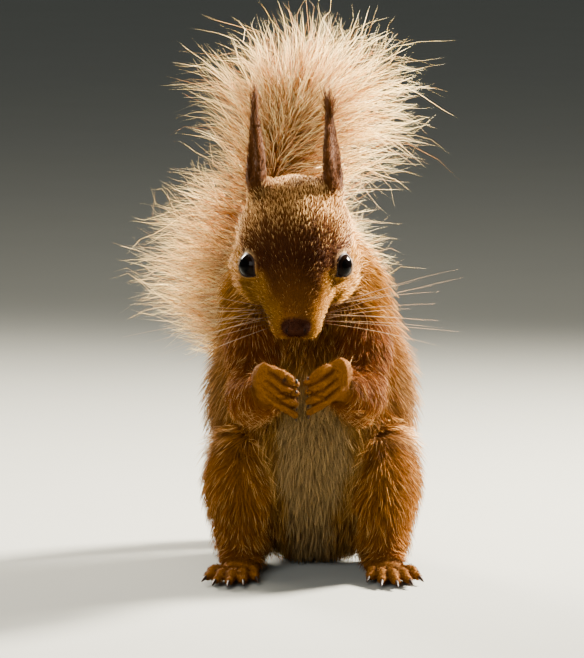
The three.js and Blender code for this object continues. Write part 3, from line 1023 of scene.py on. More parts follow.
@dataclass
class Tufts:
    """Many closed, tapered, three-sided tufts.

    Args:
        paths: the middle line of each, from root to tip, one row of points for each tuft.
        widths: the width of each at its root.
        ups: the way the back of each faces.
        tones: a chance number for each, from 0 to 1, that its shade follows.
        marks: the markings at each root.
        unwrap: the place of each root on the unwrap of the skin, from 0 to 1 each way.
    """

    paths: Array
    widths: Array
    ups: Array
    tones: Array
    marks: dict[str, Array]
    unwrap: Array
    taper: float = 2.2  # the higher, the later a tuft narrows

    PATCH = 0.003  # the size of a tuft's patch on the unwrap
    CORNERS = 3  # of its section
    THINNESS = 0.62  # the thickness of a tuft beside its width

    def part(self, rows: Array) -> "Tufts":
        """Returns some of the tufts."""
        marks = {name: values[rows] for name, values in self.marks.items()}
        fields = (self.paths, self.widths, self.ups, self.tones)
        return Tufts(*(values[rows] for values in fields), marks, self.unwrap[rows], self.taper)

    def faces(self, steps: int) -> Array:
        """Returns the triangles of one tuft with that many steps, numbered from its own first point."""
        made = [(0, 1, 2)]
        for ring in range(steps):
            first = self.CORNERS * ring
            for corner in range(self.CORNERS):
                a, b = first + corner, first + (corner + 1) % self.CORNERS
                if ring == steps - 1:
                    made.append((b, a, self.CORNERS * steps))
                else:
                    made += [(b, a, b + self.CORNERS), (a, a + self.CORNERS, b + self.CORNERS)]
        return np.array(made)

    def build(self, name: str) -> Piece:
        """Returns the tufts as one mesh object, with its maps and its unwrap."""
        count, stops, _ = self.paths.shape
        steps = stops - 1
        heading = unit(np.gradient(self.paths, axis=1))
        across = unit(np.cross(heading, self.ups[:, None]))
        back = np.cross(across, heading)
        along = np.arange(steps) / steps
        swell = 0.75 if steps > 1 else 1.0  # a bent tuft is widest a little way from its root
        girth = self.widths[:, None] / 2 * (1 - along**self.taper) * np.where(along == 0, swell, 1)
        rings = []
        for corner in range(self.CORNERS):
            turn = math.radians(90 + 360 * corner / self.CORNERS)
            spoke = across * math.cos(turn) + back * math.sin(turn) * self.THINNESS
            rings.append(self.paths[:, :-1] + spoke[:, :-1] * girth[..., None])
        body = np.stack(rings, axis=2).reshape(count, self.CORNERS * steps, 3)
        points = np.concatenate([body, self.paths[:, -1:]], axis=1)
        per_tuft = self.CORNERS * steps + 1
        triangles = self.faces(steps)[None] + (np.arange(count) * per_tuft)[:, None, None]
        piece = mesh_object(name, points.reshape(-1, 3), triangles.reshape(-1, 3))
        reach = np.append(np.repeat(along, self.CORNERS), 1.0)
        write_attribute(piece, "along", np.tile(reach, count))
        write_attribute(piece, "tone", np.repeat(self.tones, per_tuft))
        for mark, values in self.marks.items():
            write_attribute(piece, mark, np.repeat(values, per_tuft))
        spread = np.stack([np.append(np.tile([-1, 0, 1], steps), 0) / 2, reach - 0.5], axis=1)
        spots = self.unwrap[:, None] + spread[None] * self.PATCH
        layer = piece.data.uv_layers.new(name="OFBake")
        layer.uv.foreach_set("vector", spots.reshape(-1, 2)[triangles.ravel()].astype(np.float32).ravel())
        return piece


def unwrapped(points: Array) -> Array:
    """Returns the places of points on an unwrap rolled about the long axis of their own shape."""
    middle = points.mean(axis=0)
    sample = (points - middle)[:: max(1, len(points) // 4000)]
    _, _, axes = np.linalg.svd(sample, full_matrices=False)
    axes = axes * np.sign(axes.sum(axis=1, keepdims=True))
    off = (points - middle) @ axes.T
    around = (np.arctan2(off[:, 2], off[:, 1]) / (2 * math.pi)) % 1
    length = (off[:, 0] - off[:, 0].min()) / np.ptp(off[:, 0])
    return inset(np.stack([around, length], axis=1))


@dataclass
class Coat:
    """The short coat: tufts combed over the skin, region by region."""

    skin: Skin
    thrift: float = 1.0  # the share of the tufts that is grown
    jitter: float = 12  # how far the heading strays
    swirl: float = 0.22  # how far it wanders together in patches, as a slope
    follow: float = 0.35  # how much of the skin's heading a tuft takes on at each of its steps
    rooted: float = 0.25  # how deep in the skin the roots lie
    fewest: int = 30  # tufts in a piece, or it is left out
    limit: int = PIECE_LIMIT
    lowest: float = 0.3  # above the floor

    def __post_init__(self) -> None:
        """Prepares to find the nearest place on the skin."""
        self.tree = search_tree(self.skin.surface.points)

    def nearest(self, points: Array) -> Array:
        """Returns the nearest vertex of the skin to each point."""
        find = self.tree.find
        return np.fromiter((find(point)[1] for point in points.tolist()), np.int64, len(points))

    def growth(self) -> tuple[Array, Array, Array, Array]:
        """Returns the length, width, height of the tips and count of the tufts at each vertex."""
        skin, points = self.skin, self.skin.surface.points
        length = skin.blend(lambda pelt: pelt.length)
        width = skin.blend(lambda pelt: pelt.width)
        height = skin.blend(lambda pelt: pelt.depth)
        count = skin.blend(lambda pelt: pelt.count)
        head = skin.share(Region.HEAD)
        back, up, _ = HEAD.measure(points)
        face = head * (1 - ease(4, 34, back))
        fluffy = head * ease(1.5, -4, up) * ease(14, 27, back)  # the cheeks
        pad = head * ease(4.8, 3.6, back)
        belly = skin.marks["cream"] * skin.share(Region.TRUNK)
        for area, longer, wider, higher, denser in (
            (face, -0.6, -0.35, -0.45, 0.35),
            (fluffy, 1.0, 0, 1.2, 0),
            (head - fluffy, 0, 0, -0.2, 0),
            (pad, -0.45, 0, 0, 0),
            (belly, -0.3, -0.25, 0, 0.35),
        ):
            length *= 1 + longer * area
            width *= 1 + wider * area
            height *= 1 + higher * area
            count *= 1 + denser * area
        hand = skin.share(Region.HAND)
        cuff = hand * ease(1.0, 0.7, skin.surface.relaxed(hand[:, None], 40)[:, 0])
        length += 2.4 * cuff
        width += 0.1 * cuff
        height += 0.5 * cuff - 0.15 * hand
        height *= 1 - 0.6 * skin.seam()
        count *= 1 - 0.9 * skin.parting
        for eye in eyes().values():
            reach, place = eye.opening(points)
            by_eye = ease(eye.radius + 3.5, eye.radius + 0.8, reach)
            length *= 1 - 0.5 * by_eye
            height *= 1 - 0.4 * by_eye
            count = np.where((place < 1.2) & (reach < eye.radius + eye.surround), 0, count)
        for side in SIDES:
            low, high = (np.array(corner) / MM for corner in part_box(f"ear_{side}"))
            beside = np.abs(points[:, 0] - (low[0] + high[0]) / 2)
            ear = skin.share(Region.EAR) * (beside < EAR_REACH)
            tip = ear * ease(low[2] + 18, high[2] - 3, points[:, 2])
            length += 7.5 * tip
            height += 0.7 * tip
            count *= 1 + tip
        count = count * (skin.marks["bare"] < 0.5)
        count = count * ((points[:, 2] > 1.2) | (skin.surface.normals[:, 2] > -0.5))
        return length, width, height, count

    def sow(self, count: Array, rng: np.random.Generator) -> tuple[Array, Array, Array]:
        """Scatters roots evenly over the skin.

        Args:
            count: roots to a square millimetre at each vertex.
            rng: the source of chance.

        Returns:
            The triangle of each root, and its weights at that triangle's corners, and its place.
        """
        surface = self.skin.surface
        corners = surface.points[surface.triangles]
        crosses = np.cross(corners[:, 1] - corners[:, 0], corners[:, 2] - corners[:, 0])
        area = np.linalg.norm(crosses, axis=1) / 2
        total = np.cumsum(area * count[surface.triangles].mean(axis=1) * self.thrift)
        number = int(total[-1])
        spots = (np.arange(number) + rng.random(number)) / number * total[-1]
        face = np.minimum(np.searchsorted(total, spots), len(total) - 1)
        a, b = rng.random((2, number))
        fold = a + b > 1
        a, b = np.where(fold, 1 - a, a), np.where(fold, 1 - b, b)
        share = np.stack([1 - a - b, a, b], axis=1)
        return face, share, (corners[face] * share[..., None]).sum(axis=1)

    def comb(self, roots: Array, ups: Array, ways: Array, lengths: Array, heights: Array) -> Array:
        """Lays tufts along the skin.

        Args:
            roots: where they start.
            ups: the skin's normals there.
            ways: which way each lies.
            lengths: how long each is.
            heights: how high each point of each tuft stands over the skin.

        Returns:
            The middle line of each tuft.
        """
        surface, heading = self.skin.surface, self.skin.heading
        here = roots
        path = [roots + ups * heights[:, :1]]
        steps = heights.shape[1] - 1
        for step in range(1, steps + 1):
            here = here + ways * (lengths / steps)[:, None]
            near = self.nearest(here)
            normal = surface.normals[near]
            held = ease(0.8, 0.5, dot(ways, normal))  # one that stands away from the skin is not drawn back
            lift = heights[:, step] - dot(here - surface.points[near], normal)
            here = here + normal * (held * lift)[:, None]
            path.append(here)
            ways = ways + self.follow * heading[near]
            ways = unit(ways - normal * (held * dot(ways, normal))[:, None])
        made = np.stack(path, axis=1)
        made[..., 2] = np.maximum(made[..., 2], self.lowest)
        return made

    def grow(self) -> list[Piece]:
        """Returns the coat's pieces."""
        return [piece for seed, layer in enumerate(LAYERS) for piece in self.grow_layer(layer, seed)]

    def grow_layer(self, layer: Layer, seed: int) -> list[Piece]:
        """Returns the pieces of one layer."""
        rng = np.random.default_rng(20 + seed)
        surface = self.skin.surface
        length, width, height, count = self.growth()
        face, share, roots = self.sow(count * layer.share, rng)
        corner = surface.triangles[face]

        def at(values: Array) -> Array:
            """Returns a map's values at the roots."""
            spread = share if values.ndim == 1 else share[..., None]
            return (values[corner] * spread).sum(axis=1)

        number = len(roots)
        ups = unit(at(surface.normals))
        ways = at(self.skin.heading)
        aside = np.cross(ups, ways)
        stray = np.radians(self.jitter) * rng.normal(size=number) + self.swirl * ripple(roots, 11, 8)
        ways = unit(ways + aside * np.tan(np.clip(stray, -1, 1))[:, None])
        lengths = at(length) * layer.length * rng.uniform(0.7, 1.2, number) * (1 + 0.15 * ripple(roots, 7, 9))
        tips = at(height) * rng.uniform(*layer.stand, number) + 0.15
        rise = np.linspace(0, 1, layer.steps + 1) ** 0.75
        heights = tips[:, None] * rise[None]
        heights[:, 0] = -self.rooted
        paths = self.comb(roots, ups, ways, lengths, heights)
        marks = {mark: at(values) for mark, values in self.skin.marks.items()}
        widths = at(width) * layer.width * rng.uniform(0.75, 1.25, number)
        tones = np.clip(rng.normal(*layer.tone, number) + 0.1 * ripple(roots, 5, 4), 0, 1)
        plain = np.clip(self.skin.share(Region.EAR, Region.HAND, Region.FOOT) + self.skin.pad, 0, 1)
        tones *= (1 - 0.5 * at(plain)) * (1 - 0.25 * marks["cream"])
        # the crown's paler tips: agouti grizzle and painted light
        tones += 0.3 * at(self.skin.grizzle_and_crown_light)
        everything = Tufts(paths, widths, ups, tones, marks, np.zeros((number, 2)))
        region = np.argmax(self.skin.weights[corner[:, 0]], axis=1)
        return self.cut_in_pieces(layer, everything, roots, region)

    def cut_in_pieces(self, layer: Layer, tufts: Tufts, roots: Array, region: Array) -> list[Piece]:
        """Builds the tufts, region by region and side by side.

        Args:
            layer: the layer that they belong to.
            tufts: all of its tufts.
            roots: where they start.
            region: the number of each one's region.

        Returns:
            One or more pieces for each region and side, none over the limit.
        """
        per_tuft = len(tufts.faces(layer.steps))
        made = []
        for number, kind in enumerate(REGIONS):
            for side, sign in {"": 0, "_left": 1, "_right": -1}.items():
                if (sign == 0) != (kind not in PAIRED):
                    continue
                rows = (region == number) & ((sign == 0) | ((roots[:, 0] - middle_of(kind)) * sign > 0))
                rows = np.flatnonzero(rows)
                if len(rows) < self.fewest:
                    continue
                tufts.unwrap[rows] = unwrapped(roots[rows])
                rows = rows[np.argsort(tufts.unwrap[rows, 1], kind="stable")]
                shares = math.ceil(len(rows) * per_tuft / self.limit)
                for i, chunk in enumerate(np.array_split(rows, shares)):
                    name = f"coat_{kind.value}{side}_{layer.name}" + (f"_{i + 1}" if shares > 1 else "")
                    made.append(tufts.part(chunk).build(name))
        return made


# ---- the tail ----


@dataclass(frozen=True)
class Strand:
    """One kind of tail hair.

    Args:
        name: part of the names of its pieces.
        count: how many there are.
        width: of each at its root.
        steps: the lengths that each is bent from.
        share: the least and the most of the room that one fills.
        beats: the least and the most waves along one.
        wave: the height of the waves, as a share of its length.
        curl: how far its tip curls aside, as a share of its length.
        hook: the higher, the nearer its tip the curl starts.
    """

    name: str
    count: int
    width: float
    steps: int
    share: tuple[float, float]
    beats: tuple[float, float]
    wave: float
    curl: float
    hook: float


STRANDS = (
    Strand("fringe", 4_600, 0.23, 10, (0.68, 1.04), (1.8, 3.6), 0.055, 0.36, 4.0),
    Strand("hair", 9_300, 0.26, 4, (0.45, 1.0), (0.8, 1.6), 0.05, 0.18, 2.5),
    Strand("wool", 4_200, 0.44, 2, (0.30, 0.60), (0.8, 1.6), 0.06, 0.18, 2.2),
)


TAIL_NODES = ("tail_base", "tail_middle", "tail_brush")


@dataclass
class Plume:
    """The tail's long hair, which parts to both sides of the core and fans out at its end."""

    thrift: float = 1.0  # the share of the hair that is grown
    longest: float = 64
    limit: int = PIECE_LIMIT
    parting: float = 0.33  # how far the hair is combed apart to the two sides
    slant: tuple[float, float] = (24, 13)  # towards the tail's end: the mean and the spread
    fan: float = 66  # how much more a hair at the end of the tail can slant
    bow: float = 0.16  # how far a hair bows towards the tail's end, as a share of its length
    lowest: float = 0.4  # above the floor
    tries: float = 2.4  # places tried for each hair, of which the roomier ones are likelier taken
    bridged: float = 3.0  # the widest gap between two solids that a hair crosses
    company: int = 12  # the neighbours that a hair is measured against
    stray: float = 1.12  # how much longer than they a hair may be
    slack: float = 8.0  # how far at most a curl reaches out of the CAD tail's box

    def envelope(self) -> list[BVHTree]:
        """Returns the tail's CAD solids, ready to be measured."""
        trees = []
        for node in TAIL_NODES:
            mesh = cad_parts[node].data
            corners = [v.co / MM for v in mesh.vertices]
            trees.append(BVHTree.FromPolygons(corners, [tuple(p.vertices) for p in mesh.polygons]))
        return trees

    def room(self, trees: list[BVHTree], start: Array, way: Array) -> float:
        """Measures the room for a straight hair.

        Args:
            trees: the tail's solids.
            start: the hair's root.
            way: which way it points.

        Returns:
            How far it can reach before it leaves the solids.
        """
        origin, heading = Vector(start), Vector(way)
        inside = []
        for tree in trees:
            hits, done = [], 0.0
            while len(hits) < 6:
                hit, _, _, gap = tree.ray_cast(origin + heading * (done + 0.01), heading)
                if hit is None:
                    break
                done += gap + 0.01
                hits.append(done)
            if len(hits) % 2:
                hits.insert(0, 0.0)
            inside += zip(hits[::2], hits[1::2])
        reach = 0.0
        for enters, leaves in sorted(inside):
            if enters < reach + self.bridged:
                reach = max(reach, leaves)
        return reach

    def trimmed(self, spots: Array, room: Array) -> Array:
        """Returns each hair's room, cut where it would stand out far beyond its neighbours."""
        tree = search_tree(spots)
        near = np.array([[i for _, i, _ in tree.find_n(spot, self.company)] for spot in spots.tolist()])
        return np.minimum(room, self.stray * np.median(room[near], axis=1))

    def strew(self, count: int, rng: np.random.Generator) -> tuple[Array, ...]:
        """Scatters hairs along the core.

        Args:
            count: how many hairs are kept.
            rng: the source of chance.

        Returns:
            Their roots, the ways they point, the core's heading there, their place along the
            core and round it, and the room each has.
        """
        core = TailCore()
        tried = int(count * self.tries)
        t = rng.random(tried) ** 1.05
        ahead = unit(core.route(np.clip(t + 0.01, 0, 1)) - core.route(np.clip(t - 0.01, 0, 1)))
        across = unit(np.array([1.0, 0, 0]) - ahead * ahead[:, :1])
        face = np.cross(across, ahead)
        turn = rng.uniform(0, 2 * math.pi, tried)
        turn = turn - self.parting * np.sin(2 * turn)
        spoke = across * np.cos(turn)[:, None] + face * np.sin(turn)[:, None]
        slant = np.radians(rng.normal(*self.slant, tried))
        slant = slant + np.radians(self.fan) * ease(0.72, 1.0, t) * rng.random(tried)
        way = unit(spoke * np.cos(slant)[:, None] + ahead * np.sin(slant)[:, None])
        roots = core.route(t) + spoke * (core.radius(t) * 0.8)[:, None]
        trees = self.envelope()
        room = np.array([self.room(trees, root, heading) for root, heading in zip(roots, way)])
        room = self.trimmed(roots + way * (self.longest / 2), room)
        odds = (0.35 + room / self.longest) * (1 + 2.0 * ease(0.74, 0.62, t) * ease(0.3, 0.45, t))
        kept = rng.choice(tried, count, replace=False, p=odds / odds.sum())
        kept = kept[np.argsort(t[kept])]
        return tuple(values[kept] for values in (roots, way, ahead, t, turn, room))

    def grow(self) -> list[Piece]:
        """Returns the plume's pieces."""
        rng = np.random.default_rng(31)
        made = []
        for strand in STRANDS:
            count = int(strand.count * self.thrift)
            roots, way, ahead, t, turn, room = self.strew(count, rng)
            share = rng.uniform(*strand.share, count) * (1 + 0.1 * ripple(roots + way * 30, 16, 12))
            share += 0.06 * ease(0.74, 0.6, t) + 0.08 * ease(0.75, 0.95, t)
            length = np.minimum(room, self.longest) * share
            loose = 0.5 + 0.5 * ease(0.6, 0.8, t)
            path = self.bend(strand, roots, way, ahead, length, loose, rng)
            unwrap = inset(np.stack([(turn / (2 * math.pi)) % 1, t], axis=1))
            marks = {mark: np.zeros(count) for mark in MARKS}
            rear = ease(0.1, 0.8, way[:, 1])
            pale = ease(0.08, 0.6, t) - 0.85 * rear + 0.2 * rng.normal(size=count)
            marks["cream"] = np.clip(pale, 0, 1)
            widths = strand.width * rng.uniform(0.7, 1.2, count)
            ups = unit(rng.normal(size=(count, 3)))
            tufts = Tufts(path, widths, ups, rng.random(count), marks, unwrap, taper=4)
            shares = math.ceil(count * len(tufts.faces(strand.steps)) / self.limit)
            for i, rows in enumerate(np.array_split(np.arange(count), shares)):
                made.append(tufts.part(rows).build(f"tail_{strand.name}_{i + 1}"))
        return made

    def bend(
        self,
        strand: Strand,
        roots: Array,
        way: Array,
        ahead: Array,
        length: Array,
        loose: Array,
        rng: np.random.Generator,
    ) -> Array:
        """Returns the middle lines of hairs that bow towards the tail's end, wave and curl.

        Args:
            strand: the kind of hair.
            roots: where the hairs start.
            way: which way each points.
            ahead: the core's heading at each root.
            length: how long each hair is.
            loose: how freely each curls, from 0 to 1.
            rng: the source of chance.
        """
        count = len(roots)
        s = np.linspace(0, 1, strand.steps + 1)
        path = roots[:, None] + way[:, None] * (length[:, None] * s)[..., None]
        bow = self.bow * length * rng.uniform(0.6, 1.4, count)
        path += ahead[:, None] * (bow[:, None] * (np.sin(math.pi * s) * 0.5 - 0.3 * s * s))[..., None]
        sway = unit(np.cross(way, rng.normal(size=(count, 3))))
        phase, beats = rng.uniform(0, 2 * math.pi, count), rng.uniform(*strand.beats, count)
        wave = np.sin(2 * math.pi * beats[:, None] * s + phase[:, None]) - np.sin(phase)[:, None]
        curl = strand.curl * (loose * np.clip(rng.normal(size=count), -1.3, 1.3))[:, None] * s**strand.hook
        path += sway[:, None] * ((strand.wave * wave * s + curl) * length[:, None])[..., None]
        path = self.kept_in(path)
        path[..., 2] = np.maximum(path[..., 2], self.lowest)
        return path

    def kept_in(self, path: Array) -> Array:
        """Returns the middle lines with the curls eased back that reach out of the CAD tail's box."""
        boxes = np.array([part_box(node) for node in TAIL_NODES]) / MM
        low, high = boxes[:, 0].min(axis=0), boxes[:, 1].max(axis=0)
        over = path - np.clip(path, low, high)
        return path - over + self.slack * np.tanh(over / self.slack)


# ---- whiskers and claws ----


@dataclass
class Whiskers:
    """Stiff whiskers in rows on both sides of the muzzle."""

    per_row: int = 4
    rows: int = 3
    first: tuple[float, float, float] = (6.5, -1.8, 7.0)  # the first one's place: back, up and out
    spacing: float = 2.1  # from one to the next in a row
    row_gap: float = 1.6
    length: tuple[float, float] = (36, 52)
    width: float = 0.3
    steps: int = 14

    def grow(self, skin: Skin) -> Piece:
        """Returns all whiskers as one piece."""
        rng = np.random.default_rng(5)
        first_back, first_up, out = self.first
        roots, ways, lengths = [], [], []
        for sign in SIDES.values():
            for row in range(self.rows):
                for place in range(self.per_row):
                    back = first_back + self.spacing * place + rng.normal(0, 0.3)
                    up = first_up - self.row_gap * row + rng.normal(0, 0.25)
                    roots.append(HEAD.place(back, up, sign * out))
                    sweep = -0.28 + 0.12 * place + rng.normal(0, 0.07)
                    rise = 0.16 - 0.16 * row + 0.04 * place + (0.1 if sign > 0 else -0.12)
                    rise = rise + rng.normal(0, 0.06)
                    ways.append(unit(np.array([sign, sweep, rise])))
                    lengths.append(rng.uniform(*self.length) * (1 - 0.09 * abs(place - 1.5)))
        roots, ways, lengths = np.array(roots), np.array(ways), np.array(lengths)
        points = skin.surface.points
        for i, root in enumerate(roots):
            roots[i] = points[np.argmin(((points - root) ** 2).sum(axis=1))]
        s = np.linspace(0, 1, self.steps + 1)
        paths = roots[:, None] + ways[:, None] * (lengths[:, None] * s)[..., None]
        droop = rng.uniform(0.02, 0.14, len(roots)) * lengths
        paths[..., 2] -= droop[:, None] * s**2
        paths[..., 1] += 0.1 * lengths[:, None] * s**2
        marks = {mark: np.zeros(len(roots)) for mark in MARKS}
        ups = np.tile([0.0, 0.3, 1.0], (len(roots), 1))
        widths = self.width * rng.uniform(0.8, 1.1, len(roots))
        tones = rng.random(len(roots))
        unwrap = rng.uniform(0.05, 0.95, (len(roots), 2))
        return Tufts(paths, widths, ups, tones, marks, unwrap).build("whiskers")


@dataclass
class Claw:
    """One claw: a smooth horn in the place of a CAD one, rooted in the finger or toe."""

    limb: str
    side: str
    digit: int
    root: float = 1.3  # how far the horn reaches back into the flesh

    @property
    def node(self) -> str:
        """The CAD node that the claw stands for."""
        return f"claw_{self.limb}_{self.side}_{self.digit}"

    def base(self) -> Array:
        """Returns the middle of the end of the CAD claw that sits on the finger or toe."""
        corners = np.array([v.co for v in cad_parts[self.node].data.vertices]) / MM
        off = np.linalg.norm(corners - centre_of(f"{self.limb}_{self.side}"), axis=1)
        return corners[off < off.min() + 0.9].mean(axis=0)

    def build(self) -> Piece:
        """Returns the claw."""
        piece = copy_of_node(self.node, f"{self.node}_horn")
        surface = Surface.of(piece)
        heading = unit(self.base() - surface.points.mean(axis=0))
        reach = surface.points @ heading
        reach = reach - reach.min()
        surface.points += heading * (self.root * ease(0.55, 1, reach / reach.max()))[:, None]
        surface.store(piece)
        apply_modifier(piece, "SUBSURF", levels=2, render_levels=2)
        apply_modifier(piece, "DISPLACE", strength=0.08 * MM, mid_level=0)
        take(piece)
        bpy.ops.object.shade_smooth()
        return piece


# ---- finishes ----


def linear(colour: str) -> tuple[float, float, float, float]:
    """Returns an sRGB hex colour as linear red, green, blue and an alpha of 1."""
    parts = (int(colour[i : i + 2], 16) / 255 for i in (1, 3, 5))
    return (*(p / 12.92 if p <= 0.04045 else ((p + 0.055) / 1.055) ** 2.4 for p in parts), 1.0)


def add_node(
    tree: Tree,
    kind: str,
    inputs: dict[str | int, Any] | None = None,
    out: str | int = 0,
    **settings: Any,
) -> Socket | None:
    """Adds a node to a tree, with its settings, its input values and its links.

    Args:
        tree: the material's tree.
        kind: the node's type, without the "ShaderNode" that each begins with.
        inputs: a value for each input, or the output that feeds it.
        out: which output is wanted.
        settings: the node's own properties.

    Returns:
        The wanted output, if the node has any.
    """
    node = tree.nodes.new("ShaderNode" + kind)
    for name, value in settings.items():
        setattr(node, name, value)
    for socket, value in (inputs or {}).items():
        if isinstance(value, Socket):
            tree.links.new(value, node.inputs[socket])
        else:
            node.inputs[socket].default_value = value
    return node.outputs[out] if node.outputs else None


@dataclass(frozen=True)
class Finish:
    """The look of a piece, made of nodes."""

    name: str

    def surface(self, tree: Tree) -> Socket:
        """Adds the nodes to a material's tree and returns the surface that they make."""
        raise NotImplementedError

    def material(self) -> Material:
        """Returns a material with this look."""
        material = bpy.data.materials.new(self.name)
        material.use_nodes = True
        material.node_tree.nodes.clear()
        add_node(material.node_tree, "OutputMaterial", {"Surface": self.surface(material.node_tree)})
        return material


MIX_SHARE, MIX_FIRST, MIX_SECOND, MIX_RESULT = 0, 6, 7, 2  # the colour sockets of a Mix node
KERATIN_IOR = 1.55
HIDE_IOR = 1.45
CORNEA_IOR = 1.38


@dataclass(frozen=True)
class Palette:
    """The colours of the squirrel's coat, each for one marking; dusk also paints shade in folds and hollows,
    and cream a highlight on the flanks.
    """

    russet: str = "#985e12"
    cream: str = "#d6bb86"
    ochre: str = "#9b680e"
    rust: str = "#7c3d09"
    dusk: str = "#48220a"
    bare: str = "#1d0c07"


def coat_colour(tree: Tree, palette: Palette = Palette()) -> Socket:
    """Returns the coat's colour from the markings that skin and tufts share."""
    colour: Any = linear(palette.russet)
    for mark in MARKS:
        share = add_node(tree, "Attribute", out="Fac", attribute_name=mark)
        inputs = {MIX_SHARE: share, MIX_FIRST: colour, MIX_SECOND: linear(getattr(palette, mark))}
        colour = add_node(tree, "Mix", inputs, MIX_RESULT, data_type="RGBA")
    return colour


@dataclass(frozen=True)
class TuftFinish(Finish):
    """Keratin hair: satin, a little see-through against the light, darker at its root.

    Agouti hair is dark at the root and pale at its tip; on the crown more of the tips are pale, as painted
    light.
    """

    name: str = "keratin_coat_hair"
    tip: str = "#f4c67a"
    tip_share: float = 0.75
    roughness: float = 0.62
    specular: float = 0.05
    glow: float = 0.35  # the share of the light that passes through

    def surface(self, tree: Tree) -> Socket:
        """Adds the nodes and returns their surface."""
        along = add_node(tree, "Attribute", out="Fac", attribute_name="along")
        tone = add_node(tree, "Attribute", out="Fac", attribute_name="tone")
        ends = {"Value": along, "From Min": 0.45, "From Max": 0.95}
        end = add_node(tree, "MapRange", ends, interpolation_type="SMOOTHSTEP")
        light_hairs = add_node(tree, "MapRange", {"Value": tone, "From Min": 0.5, "From Max": 0.85})
        pale = add_node(tree, "Math", {0: end, 1: light_hairs}, operation="MULTIPLY")
        pale = add_node(tree, "Math", {0: pale, 1: self.tip_share}, operation="MULTIPLY")
        inputs = {MIX_SHARE: pale, MIX_FIRST: coat_colour(tree), MIX_SECOND: linear(self.tip)}
        colour = add_node(tree, "Mix", inputs, MIX_RESULT, data_type="RGBA")
        depth = add_node(tree, "MapRange", {"Value": along, "To Min": 0.42, "To Max": 1.05})
        shade = add_node(tree, "MapRange", {"Value": tone, "To Min": 0.6, "To Max": 1.5})
        shade = add_node(tree, "Math", {0: depth, 1: shade}, operation="MULTIPLY")
        colour = add_node(tree, "HueSaturation", {"Value": shade, "Color": colour})
        body = {
            "Base Color": colour,
            "Roughness": self.roughness,
            "IOR": KERATIN_IOR,
            "Specular IOR Level": self.specular,
        }
        hair = add_node(tree, "BsdfPrincipled", body)
        through = add_node(tree, "BsdfTranslucent", {"Color": colour})
        return add_node(tree, "MixShader", {0: self.glow, 1: hair, 2: through})


@dataclass(frozen=True)
class PlumeFinish(Finish):
    """Long tail hair: ginger by the core, straw along its length and nearly white at its tip."""

    name: str = "keratin_tail_hair"
    root: str = "#9c5a1e"
    shaft: str = "#dfa047"
    tip: str = "#fdebb6"
    roughness: float = 0.5
    specular: float = 0.25
    glow: float = 0.55

    def surface(self, tree: Tree) -> Socket:
        """Adds the nodes and returns their surface."""
        along = add_node(tree, "Attribute", out="Fac", attribute_name="along")
        tone = add_node(tree, "Attribute", out="Fac", attribute_name="tone")
        cream = add_node(tree, "Attribute", out="Fac", attribute_name="cream")
        rise = add_node(tree, "Math", {0: cream, 1: 0.4, 2: -0.1}, operation="MULTIPLY_ADD")
        rise = add_node(tree, "Math", {0: rise, 1: along}, operation="ADD")
        stray = add_node(tree, "MapRange", {"Value": tone, "To Min": -0.45, "To Max": 0.3})
        rise = add_node(tree, "Math", {0: rise, 1: stray}, operation="ADD")
        colour = add_node(tree, "ValToRGB", {"Fac": rise})
        stops = colour.node.color_ramp.elements
        stops[0].position, stops[0].color = 0.1, linear(self.root)
        stops[1].position, stops[1].color = 0.95, linear(self.tip)
        stops.new(0.5).color = linear(self.shaft)
        shade = add_node(tree, "MapRange", {"Value": tone, "To Min": 0.6, "To Max": 1.3})
        colour = add_node(tree, "HueSaturation", {"Value": shade, "Color": colour})
        body = {
            "Base Color": colour,
            "Roughness": self.roughness,
            "IOR": KERATIN_IOR,
            "Specular IOR Level": self.specular,
        }
        hair = add_node(tree, "BsdfPrincipled", body)
        through = add_node(tree, "BsdfTranslucent", {"Color": colour})
        return add_node(tree, "MixShader", {0: self.glow, 1: hair, 2: through})


@dataclass(frozen=True)
class SkinFinish(Finish):
    """Hide with its dense underfur: dull and dark under the coat, moist and pebbled on the nose."""

    name: str = "hide_with_underfur"
    underfur: float = 0.55  # the underfur's brightness beside the coat's
    nap: float = 0.45  # mm between the clumps of underfur
    dry: float = 0.9  # the roughness under the coat
    moist: float = 0.5  # the roughness of bare skin
    specular: float = 0.12

    def surface(self, tree: Tree) -> Socket:
        """Adds the nodes and returns their surface."""
        place = add_node(tree, "TexCoord", out="Object")
        fuzz = add_node(tree, "TexNoise", {"Vector": place, "Scale": 1 / (self.nap * MM), "Detail": 3.0})
        low, high = self.underfur * 0.7, self.underfur * 1.3
        inputs = {"Value": fuzz, "From Min": 0.3, "From Max": 0.7, "To Min": low, "To Max": high}
        shade = add_node(tree, "MapRange", inputs)
        colour = add_node(tree, "HueSaturation", {"Value": shade, "Color": coat_colour(tree)})
        bump = add_node(tree, "Bump", {"Strength": 0.5, "Distance": 0.12 * MM, "Height": fuzz})
        bare = add_node(tree, "Attribute", out="Fac", attribute_name="bare")
        rough = add_node(tree, "MapRange", {"Value": bare, "To Min": self.dry, "To Max": self.moist})
        body = {
            "Base Color": colour,
            "Roughness": rough,
            "Normal": bump,
            "IOR": HIDE_IOR,
            "Specular IOR Level": self.specular,
        }
        return add_node(tree, "BsdfPrincipled", body)


